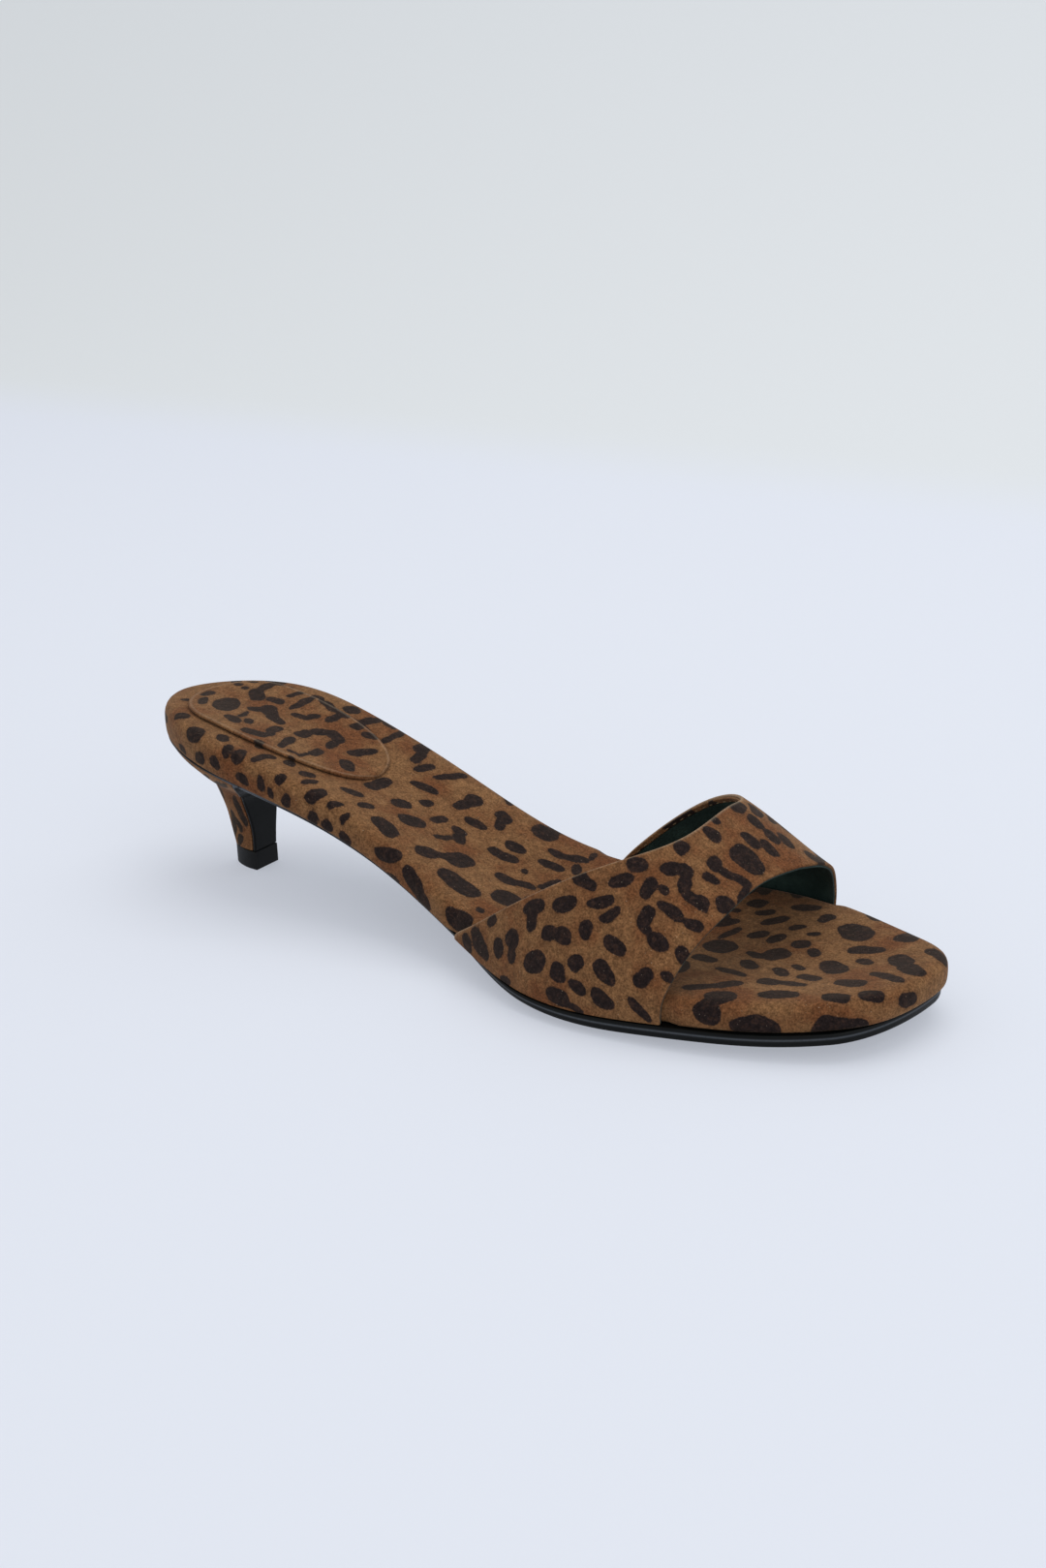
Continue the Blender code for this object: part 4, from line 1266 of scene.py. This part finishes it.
    def build_stitches(self, shop: Workshop, thread: Material) -> Object:
        """A row of stitches that holds the strip: short rods at even lengths along a line beside its edge.

        Args:
            shop: Where they are finished.
            thread: Their finish.

        Returns:
            The piece.
        """
        fine = np.linspace(*self.stitch_ends, 1200)[:, None]
        rear = self.rear_edge(fine)
        x = rear + (self.strip_width - self.stitch_inset) * self.slant(fine, rear)
        depth = self.wall + self.stitch_lift
        line = self.inside(x, fine, depth + 0 * x)[:, 0]
        outward = (self.inside(x, fine, 0 * x)[:, 0] - line) / depth
        run = run_of(line[None])[0]
        along = np.linspace(-0.5, 0.5, 7)
        swell = np.sqrt(np.clip(1 - (2 * along) ** 4, 0.05, 1)) * self.stitch_width / 2
        rings, faces = [], []
        for number, middle in enumerate(np.arange(self.stitch_step, run[-1], self.stitch_step)):
            at = middle + along * self.stitch_length
            path = np.stack([np.interp(at, run, line[:, i]) for i in range(3)], axis=-1)
            up = np.stack([np.interp(middle, run, outward[:, i]) for i in range(3)])
            side = np.cross(path[-1] - path[0], up)
            side /= np.linalg.norm(side)
            stitch = rod(path, side * swell[:, None], up * swell[:, None] * 0.7, 8)
            rings.append(stitch)
            faces.append(facing_out(stitch, tube_faces(*stitch.shape[:2])) + number * stitch[..., 0].size)
        joined, quads = np.concatenate(rings), np.concatenate(faces)
        return shop.piece("edge_stitches", joined, thread, Slot.SUEDE, faces=quads)


@dataclass(frozen=True)
class Heel:
    """The covered heel, the outsole's flap on its breast, and the top piece."""

    last: Last
    chart: Print
    seat_length: float = 46 * MM
    tip_length: float = 11.6 * MM
    tip_width: float = 9.6 * MM
    tip_fillet: float = 0.35 * MM
    top_piece: float = 6 * MM
    seat_tuck: float = 1.8 * MM
    flap: float = 1.1 * MM
    rand_run: float = 2 * MM
    rand_tuck: float = 1.55 * MM
    rand_drop: float = 0.45 * MM
    rand_wide: float = 0.7 * MM
    rand_high: float = 0.42 * MM
    rand_shine: float = 8 * MM
    rand_light: float = 0.8
    rises: tuple[float, ...] = (0.00, 0.16, 0.31, 0.44, 0.53, 0.62, 0.71, 0.83, 0.92, 1.00)
    breast: tuple[float, ...] = (0.00, 0.02, 0.02, 0.00, 0.03, 0.23, 0.52, 0.81, 0.94, 1.00)
    width: tuple[float, ...] = (0.00, 0.01, 0.05, 0.10, 0.17, 0.36, 0.58, 0.80, 0.93, 1.00)
    back: tuple[float, ...] = (0.00, 0.08, 0.14, 0.23, 0.32, 0.43, 0.55, 0.74, 0.89, 1.00)
    stations: int = 120
    front_columns: int = 30
    back_columns: int = 70

    def profile(self) -> tuple[Array, Array, Array, Array]:
        """The heel's sizes at every level: splines that carry the tip's sizes to the seat's.

        Returns:
            Each level's rise, the place of its breast, its half width and the place of its back.
        """
        last = self.last
        rise = np.linspace(0, 1, self.stations)
        shares = (self.breast, self.width, self.back)
        forward, wide, rearward = (spline(self.rises, share, rise) for share in shares)
        tip = last.tip_setback + self.tip_length
        at = last.turn_of(self.seat_length)
        seat_half = (last.outline(at, Side.INNER) - last.outline(at, Side.OUTER)) / 2
        half = self.tip_width / 2 + (seat_half - self.tip_width / 2) * wide
        return rise, tip + (self.seat_length - tip) * forward, half, last.tip_setback * (1 - rearward)

    def breast_path(self) -> tuple[Array, Array, Array]:
        """The flap's face in the upright plane along the foot, from the top piece up to the seat.

        Returns:
            Its points, its normals and its half widths, one a level.
        """
        rise, breast, half, _ = self.profile()
        floor = self.top_piece + self.last.gap
        seat = self.last.feather(breast) - self.last.gap - self.flap
        line = np.stack([breast, floor + (seat - floor) * rise], axis=-1)
        way = np.gradient(line, axis=0)
        way /= np.linalg.norm(way, axis=1, keepdims=True)
        return line, np.stack([way[:, 1], -way[:, 0]], axis=-1), half

    def middles(self, half: Array) -> tuple[Array, Array]:
        """The levels' middles, which go from the tip's to the seat's as the levels grow wider.

        Args:
            half: Half width of each level.

        Returns:
            How far each level has grown to the seat's width, and its middle across the foot.
        """
        at = self.last.turn_of(self.seat_length)
        seat = float(self.last.outline(at, Side.INNER) + self.last.outline(at, Side.OUTER)) / 2
        grown = (half - half[0]) / (half[-1] - half[0])
        return grown, self.last.tip_shift + (seat - self.last.tip_shift) * grown

    def rings(
        self, front: Array, middle: Array, half: Array, back: Array
    ) -> tuple[Array, Array]:
        """Rings seen from above: straight across the breast, then the seat's outline, drawn in.

        Args:
            front: The breast's place in each ring.
            middle: Each ring's middle across the foot.
            half: Each ring's half width.
            back: The back's place in each ring.

        Returns:
            The rings' x and y.
        """
        last = self.last
        turns = np.linspace(last.turn_of(self.seat_length), 0, self.back_columns)
        share = 1 - last.place_of(turns) / self.seat_length
        inner = last.outline(turns, Side.INNER) / last.outline(turns[0], Side.INNER)
        outer = -last.outline(turns, Side.OUTER) / last.outline(turns[0], Side.OUTER)
        across = np.linspace(-1, 1, self.front_columns + 2)[1:-1]
        ahead = np.concatenate([np.zeros_like(across), share, share[::-1]])[None, :]
        aside = np.concatenate([across, inner, outer[::-1]])[None, :]
        return front - (front - back) * ahead, middle + half * aside

    def build_cover(self, shop: Workshop, material: Material) -> Object:
        """The suede-covered block from the top piece to the footbed, closed below and above.

        Args:
            shop: Where it is finished.
            material: Its suede.

        Returns:
            The piece.
        """
        last = self.last
        line, normal, half = self.breast_path()
        back = self.profile()[3]
        floor = self.top_piece + last.gap
        face = line - normal * (self.flap + last.gap)
        level = np.clip((face[:, 1] - floor) / (last.feather(face[:, 0]) - last.gap - floor), 0, 1)
        level[0], level[-1] = 0, 1
        grown, middle = self.middles(half)
        tuck = self.seat_tuck * grown
        x, y = self.rings(face[:, :1], middle[:, None], (half - tuck)[:, None], (back + tuck)[:, None])
        z = floor + (last.feather(x) - last.gap - floor) * level[:, None]
        rings = np.stack([x, y, z], axis=-1)
        run = run_of(rings)
        start = run[:, self.front_columns : self.front_columns + 1]
        from_breast = np.minimum(run - start, run[:, -1:] - run)
        lay = np.stack([np.where(run > start, from_breast, 0), z], axis=-1)
        base, top = rings[:1].mean(axis=1, keepdims=True), rings[-1:].mean(axis=1, keepdims=True)
        shares = np.linspace(1, 0, 9)[1:, None, None]
        seat = top + (rings[-1:] - top) * shares
        seat[..., 2] = last.feather(seat[..., 0]) - last.gap
        measures = {"spot": with_ends(self.chart.distance(lay), 1, len(seat))}
        rings = np.concatenate([base + 0 * rings[:1], rings, seat])
        return shop.piece("heel_cover", rings, material, Slot.SUEDE, ("heel",), measures)

    def build_rand(self, shop: Workshop, material: Material) -> Object:
        """The thin black rand between footbed and heel: an oval carried round the seat's outline, drawn in.

        Args:
            shop: Where it is finished.
            material: Its finish, with a painted highlight that a bell curve puts towards the breast.

        Returns:
            The piece.
        """
        last = self.last
        turns = np.linspace(last.turn_of(self.seat_length + self.rand_run), 0, 90)[:, None]
        halves = []
        for side in Side:
            x, y, _ = last.plan(turns, side, 1.0 + 0 * turns, inset=self.rand_tuck)
            halves.append(np.concatenate([x, y, last.feather(x) - self.rand_drop], axis=1))
        path = np.concatenate([halves[0], halves[1][-2::-1]])
        way = np.gradient(path, axis=0)
        outward = np.stack([way[:, 1], -way[:, 0], 0 * way[:, 0]], axis=-1)
        outward /= np.linalg.norm(outward, axis=1, keepdims=True)
        upright = np.broadcast_to([0.0, 0.0, self.rand_high], path.shape)
        rings = rod(path, outward * self.rand_wide, upright, 14)
        shine = self.rand_light * np.exp(-(((rings[..., 0] - self.seat_length) / self.rand_shine) ** 2))
        return shop.piece("seat_rand", rings, material, Slot.SOLE, (), {"line": shine})

    def build_top_piece(self, shop: Workshop, material: Material) -> Object:
        """The wearing piece: one ring carried up, with a small round along its foot and its top.

        Args:
            shop: Where it is finished.
            material: Its finish.

        Returns:
            The piece.
        """
        back = self.last.tip_setback
        sizes = (back + self.tip_length, self.last.tip_shift, self.tip_width / 2, back)
        x, y = self.rings(*(np.array([[size]]) for size in sizes))
        ring = np.stack([x[0], y[0]], axis=-1)
        middle = ring.mean(axis=0)
        turn = np.radians(np.linspace(-90, 0, 6))
        radius = np.linalg.norm(ring - middle, axis=1).mean()
        draw = np.concatenate([[0, 0.6], 1 - self.tip_fillet * (1 - np.cos(turn)) / radius])
        height = np.concatenate([[0, 0], self.tip_fillet * (1 + np.sin(turn))])
        draw = np.concatenate([draw, draw[::-1]])
        height = np.concatenate([height, self.top_piece - height[::-1]])
        plan = middle + (ring - middle) * draw[:, None, None]
        rings = np.concatenate([plan, np.broadcast_to(height[:, None, None], (*plan.shape[:2], 1))], axis=-1)
        return shop.piece("heel_tip", rings, material, Slot.RUBBER, ("top_piece",))


@dataclass(frozen=True)
class Outsole:
    """The thin black sole, which turns down at the seat and covers the heel's breast."""

    last: Last
    heel: Heel
    edge: float = 3.0 * MM
    shank: float = 1.1 * MM
    proud: float = 0.6 * MM
    toe_tuck: float = 1.9 * MM
    camber: float = 2.6 * MM
    camber_power: float = 0.75
    toe_flatness: float = 0.7
    shank_end: float = 0.49
    tread_start: float = 0.62
    tread_full: float = 0.74
    tuck_start: float = 0.94
    seat_turn: float = 3 * MM
    # Places and strengths of the painted highlight at the seat, across the edge and at the bend atop the
    # breast.
    seat_shine: float = 10 * MM
    line_place: float = 0.62
    line_width: float = 0.08
    line_shares: tuple[float, float] = (0.65, 0.2)
    bend_row: float = 1.0
    bend_rows: float = 1.6
    bulge: float = 0.45 * MM
    stations: int = 300
    columns: int = 30
    edge_columns: int = 13

    def rounding(self) -> tuple[Array, Array]:
        """The edge's shape: how far out and how far up it stands, round a half oval."""
        turn = np.radians(np.linspace(-90, 90, self.edge_columns))[None, :]
        return np.cos(turn) ** 0.7, (1 + np.sin(turn)) / 2

    def half(self, turn: Array, side: Side) -> Array:
        """Half of every section of the plate, from the underside's middle to the top's.

        Args:
            turn: Shares of the turn, one a row.
            side: The side of the foot.

        Returns:
            The points.
        """
        last = self.last
        across = np.linspace(0, 1, self.columns, endpoint=False)[None, :]
        out, up = self.rounding()
        edge_x = last.place_of(turn)
        tuck = self.heel.seat_tuck
        proud = (self.proud + tuck) * last.change(edge_x, self.shank_end, self.tread_start) - tuck
        proud = proud - (self.proud + self.toe_tuck) * last.change(edge_x, self.tuck_start, 1)
        edge = self.shank + (self.edge - self.shank) * last.change(edge_x, self.shank_end, self.tread_full)
        camber = self.camber * last.change(edge_x, self.shank_end, self.tread_full)
        camber = camber * (1 - self.toe_flatness * last.change(edge_x, self.tread_full, 1))
        flat_x, flat_y, _ = last.plan(turn, side, across, inset=self.bulge - proud)
        edge_px, edge_py, _ = last.plan(turn, side, 1.0 + 0 * out, inset=self.bulge * (1 - out) - proud)
        top = last.feather(flat_x) - last.gap
        under = np.maximum(top - edge - camber * (1 - across**2) ** self.camber_power, 0)
        rim_top = last.feather(edge_px) - last.gap
        below = np.stack([flat_x, flat_y, under], axis=-1)
        above = np.stack([flat_x, flat_y, top], axis=-1)
        rim = np.stack([edge_px, edge_py, rim_top - edge * (1 - up)], axis=-1)
        return np.concatenate([below, rim, above[:, ::-1]], axis=1)

    def flap_rings(self) -> Array:
        """Sections of the flap, which lies on the breast's line and is as wide as the heel.

        Returns:
            The rings, in the order of the plate's points.
        """
        heel, last = self.heel, self.last
        line, normal, half = heel.breast_path()
        rear = line - normal * self.shank
        rear[:, 1] = np.minimum(rear[:, 1], last.feather(rear[:, 0]) - last.gap)
        grown, middle = heel.middles(half)
        half = half - heel.seat_tuck * grown
        across = np.linspace(0, 1, self.columns, endpoint=False)
        out, up = (values[0] for values in self.rounding())
        bulge = np.minimum(self.bulge, half)[:, None]
        halves = []
        for side in Side:
            flat = middle[:, None] + side * (half[:, None] - bulge) * across
            rim = middle[:, None] + side * (half[:, None] - bulge * (1 - out))
            front = [np.broadcast_to(line[:, i : i + 1], flat.shape) for i in (0, 1)]
            behind = [np.broadcast_to(rear[:, i : i + 1], flat.shape) for i in (0, 1)]
            turned = [line[:, i : i + 1] + (rear - line)[:, i : i + 1] * up for i in (0, 1)]
            below = np.stack([front[0], flat, front[1]], axis=-1)
            above = np.stack([behind[0], flat, behind[1]], axis=-1)
            edge = np.stack([turned[0], rim, turned[1]], axis=-1)
            halves.append(np.concatenate([below, edge, above[:, ::-1]], axis=1))
        return ring_of(*halves)

    def build(self, shop: Workshop, material: Material) -> Object:
        """The sole as rings from the toe to the seat and on down the breast.

        Args:
            shop: Where it is finished.
            material: Its finish.

        Returns:
            The piece.
        """
        start = self.last.turn_of(self.heel.seat_length + self.seat_turn)
        turn = np.linspace(1, start, self.stations)[:, None]
        plate = ring_of(*(self.half(turn, side) for side in Side))
        flap = self.flap_rings()[::-1]
        end = np.broadcast_to(flap[-1:].mean(axis=1, keepdims=True), flap[-1:].shape)
        rings = np.concatenate([plate, flap, end])
        measures = {"line": self.painted_highlight(rings)}
        return shop.piece("outsole_leather", rings, material, Slot.SOLE, ("outsole",), measures)

    def painted_highlight(self, rings: Array) -> Array:
        """How much painted highlight the leather gets: bell curves across the edge, and at the top of the
        breast.

        Args:
            rings: The sole's rings.

        Returns:
            The measure, from 0 to 1.
        """
        edge = np.exp(-(((self.rounding()[1] - self.line_place) / self.line_width) ** 2))
        flat = np.zeros((1, self.columns))
        half = np.concatenate([flat, edge, flat], axis=1)
        across = ring_of(half, half)
        row = np.arange(len(rings))[:, None]
        bend = np.exp(-(((row - self.stations - self.bend_row) / self.bend_rows) ** 2))
        from_seat = rings[..., 0] - self.heel.seat_length - self.seat_turn
        seat = np.exp(-((from_seat / self.seat_shine) ** 2)) * (across > 0) * (row < self.stations)
        return np.clip(across * np.where(row < self.stations, *self.line_shares) + seat + bend, 0, 1)


def stand(name: str, data: ID, axes: tuple[Array, ...], place: Array) -> Object:
    """A camera or a lamp put into the scene.

    Args:
        name: Its name.
        data: The camera or the lamp.
        axes: Its right, its up and its back.
        place: Where it stands.

    Returns:
        Its object.
    """
    matrix = np.eye(4)
    matrix[:3] = np.column_stack([*axes, place])
    holder = bpy.data.objects.new(name, data)
    bpy.context.scene.collection.objects.link(holder)
    holder.matrix_world = Matrix(matrix.tolist())
    return holder


@dataclass(frozen=True)
class Studio:
    """Pale floor and backdrop, soft lights and the camera."""

    azimuth: float = 36.24
    elevation: float = 19.93
    roll: float = -2.17
    lens: float = 48.755
    distance: float = 605.39 * MM
    target: tuple[float, float, float] = (112.64 * MM, 21.18 * MM, 35.08 * MM)
    floor: tuple[float, ...] = colour(226, 231, 243)
    wall: tuple[float, ...] = colour(224, 228, 226)
    paper: tuple[float, ...] = colour(168, 171, 177)
    glow: float = 0.465
    floor_reach: tuple[float, float, float, float] = (0.62, 0.35, 4.0, 4.0)
    horizon: tuple[float, float] = (0.12, 0.03)
    air: tuple[float, ...] = colour(250, 251, 253)
    air_strength: float = 0.68

    def camera(self, origin: Array) -> None:
        """The camera: it looks back along a ray of given azimuth and elevation from the target, then rolls.

        Args:
            origin: Where the last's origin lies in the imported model.
        """
        turn, lift, roll = np.radians([self.azimuth, self.elevation, self.roll])
        back = np.array([np.sin(turn) * np.cos(lift), -np.cos(turn) * np.cos(lift), np.sin(lift)])
        right = np.array([np.cos(turn), np.sin(turn), 0.0])
        up = np.cross(back, right)
        rolled = right * np.cos(roll) + up * np.sin(roll)
        upright = up * np.cos(roll) - right * np.sin(roll)
        place = np.array(self.target) + back * self.distance + origin
        lens = bpy.data.cameras.new("camera")
        lens.lens = self.lens
        lens.clip_start = 0.01
        bpy.context.scene.camera = stand("camera", lens, (rolled, upright, back), place)

    def backdrop(self) -> None:
        """One sheet along the shoe: a flat floor that turns up in a quarter circle into a wall far behind."""
        turn = np.linspace(0, np.pi / 2, 25)
        near, bend, reach, top = self.floor_reach
        run = np.concatenate([[-reach], near + bend * np.sin(turn), [near + bend]])
        rise = np.concatenate([[0], bend * (1 - np.cos(turn)), [top]])
        wide = np.linspace(-reach, reach, 9)
        points = np.stack(np.broadcast_arrays(wide[None, :], run[:, None], rise[:, None]), axis=-1)
        mesh = bpy.data.meshes.new("backdrop")
        mesh.from_pydata(points.reshape(-1, 3).tolist(), [], sheet_faces(*points.shape[:2]).tolist())
        mesh.shade_smooth()
        material = bpy.data.materials.new("backdrop paper")
        material.use_nodes = True
        nodes = Nodes(material.node_tree)
        where = nodes.add("ShaderNodeTexCoord").outputs["Object"]
        place = nodes.add("ShaderNodeSeparateXYZ", {0: where}).outputs["Y"]
        before, behind = self.horizon
        tone = nodes.mix(nodes.ramp(place, near - before, near + behind), self.floor, self.wall)
        nodes.fill(material.node_tree.nodes["Principled BSDF"], {
            "Emission Color": tone,
            "Emission Strength": self.glow,
            "Base Color": self.paper,
            "Roughness": 0.9,
            "Specular IOR Level": 0.1,
        })
        mesh.materials.append(material)
        sheet = bpy.data.objects.new("backdrop", mesh)
        bpy.context.scene.collection.objects.link(sheet)

    def light(self, name: str, place: tuple[float, ...], size: float, watts: float, tint: tuple) -> None:
        """One square soft box that looks at the shoe.

        Args:
            name: Its name.
            place: Where it stands.
            size: The length of its side.
            watts: Its power.
            tint: Its colour.
        """
        lamp = bpy.data.lights.new(name, "AREA")
        lamp.shape, lamp.size, lamp.energy, lamp.color = "SQUARE", size, watts, tint
        back = np.array(place) / np.linalg.norm(place)
        right = np.cross([0.0, 1.0, 0.001], back)
        right /= np.linalg.norm(right)
        stand(name, lamp, (right, np.cross(back, right), back), place)

    def build(self, origin: Array) -> None:
        """The whole studio.

        Args:
            origin: Where the last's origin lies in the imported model.
        """
        scene = bpy.context.scene
        scene.view_settings.view_transform = "Standard"
        scene.world = bpy.data.worlds.new("studio")
        scene.world.use_nodes = True
        tree = scene.world.node_tree
        Nodes(tree).fill(tree.nodes["Background"], {"Color": self.air, "Strength": self.air_strength})
        self.backdrop()
        self.light("overhead", (0.1, 0.35, 1.5), 1.2, 8.6, (1.0, 0.99, 0.97))
        self.light("front", (1.3, -0.7, 0.9), 1.4, 6.2, (0.98, 0.99, 1.0))
        self.camera(origin)


@dataclass(frozen=True)
class Mule:
    """The whole shoe and its finishes."""

    last: Last = Last()
    shop: Workshop = Workshop(Last())
    suede: SuedeFinish = SuedeFinish("printed suede")
    sock_suede: SuedeFinish = SuedeFinish("sock suede")
    heel_suede: SuedeFinish = SuedeFinish(
        "heel suede",
        light=colour(126, 90, 58),
        dark=colour(96, 64, 40),
        red=colour(92, 54, 31),
        ink=colour(30, 24, 22),
    )
    sole: SmoothFinish = SmoothFinish(
        "black sole",
        base=colour(5, 7, 7),
        worn=colour(11, 13, 13),
        smoothest=0.37,
        grain=0.5 * MM,
        relief=0.012 * MM,
        gloss=0.12,
        lit=colour(88, 92, 98),
    )
    rubber: SmoothFinish = SmoothFinish(
        "heel tip",
        base=colour(7, 8, 9),
        worn=colour(13, 14, 15),
        smoothest=0.42,
        grain=0.4 * MM,
        relief=0.015 * MM,
        gloss=0.15,
    )
    lining: SmoothFinish = SmoothFinish(
        "green lining",
        base=colour(30, 47, 44),
        worn=colour(52, 72, 66),
        smoothest=0.77,
        grain=0.9 * MM,
        relief=0.3 * MM,
        gloss=0.2,
        lit=colour(62, 72, 70),
    )
    thread: SmoothFinish = SmoothFinish(
        "pale thread",
        base=colour(112, 94, 68),
        worn=colour(140, 122, 94),
        smoothest=0.62,
        grain=0.3 * MM,
        relief=0.03 * MM,
        gloss=0.3,
    )

    def build(self) -> list[Object]:
        """Every piece in the order a maker adds them: sole, heel, footbed, sock, vamp.

        The print under the vamp and on its inner side repeats spots that lie beside it, turned over.

        Returns:
            The pieces.
        """
        nap, grain = Nap().build(), Grain().build()
        suede, sock_suede = self.suede.build(nap), self.sock_suede.build(nap)
        sole, rubber, lining, thread = (
            finish.build(grain) for finish in (self.sole, self.rubber, self.lining, self.thread)
        )
        bed_print = Print(BED_PRINT + turned_over(tuple(s for s in BED_PRINT if 84 < s.x < 134), 50))
        vamp_print = Print(VAMP_PRINT + turned_over(tuple(s for s in VAMP_PRINT if s.y < -29), 4))
        heel = Heel(self.last, Print(HEEL_PRINT))
        bed = Footbed(self.last, bed_print)
        return [
            Outsole(self.last, heel).build(self.shop, sole),
            heel.build_cover(self.shop, self.heel_suede.build(nap)),
            heel.build_rand(self.shop, sole),
            heel.build_top_piece(self.shop, rubber),
            bed.build(self.shop, suede),
            HeelSock(bed).build(self.shop, sock_suede),
            *Vamp(self.last, vamp_print, bed_print).build(self.shop, suede, lining, thread),
        ]


def main() -> None:
    """Builds the studio and the shoe, and reports the points and faces of its pieces."""
    logging.basicConfig(level=logging.INFO, format="%(name)s: %(message)s")
    mule = Mule()
    Studio().build(mule.shop.origin())
    for piece in mule.build():
        LOG.info("%s: %d points, %d faces", piece.name, len(piece.data.vertices), len(piece.data.polygons))


if __name__ == "__main__":
    main()
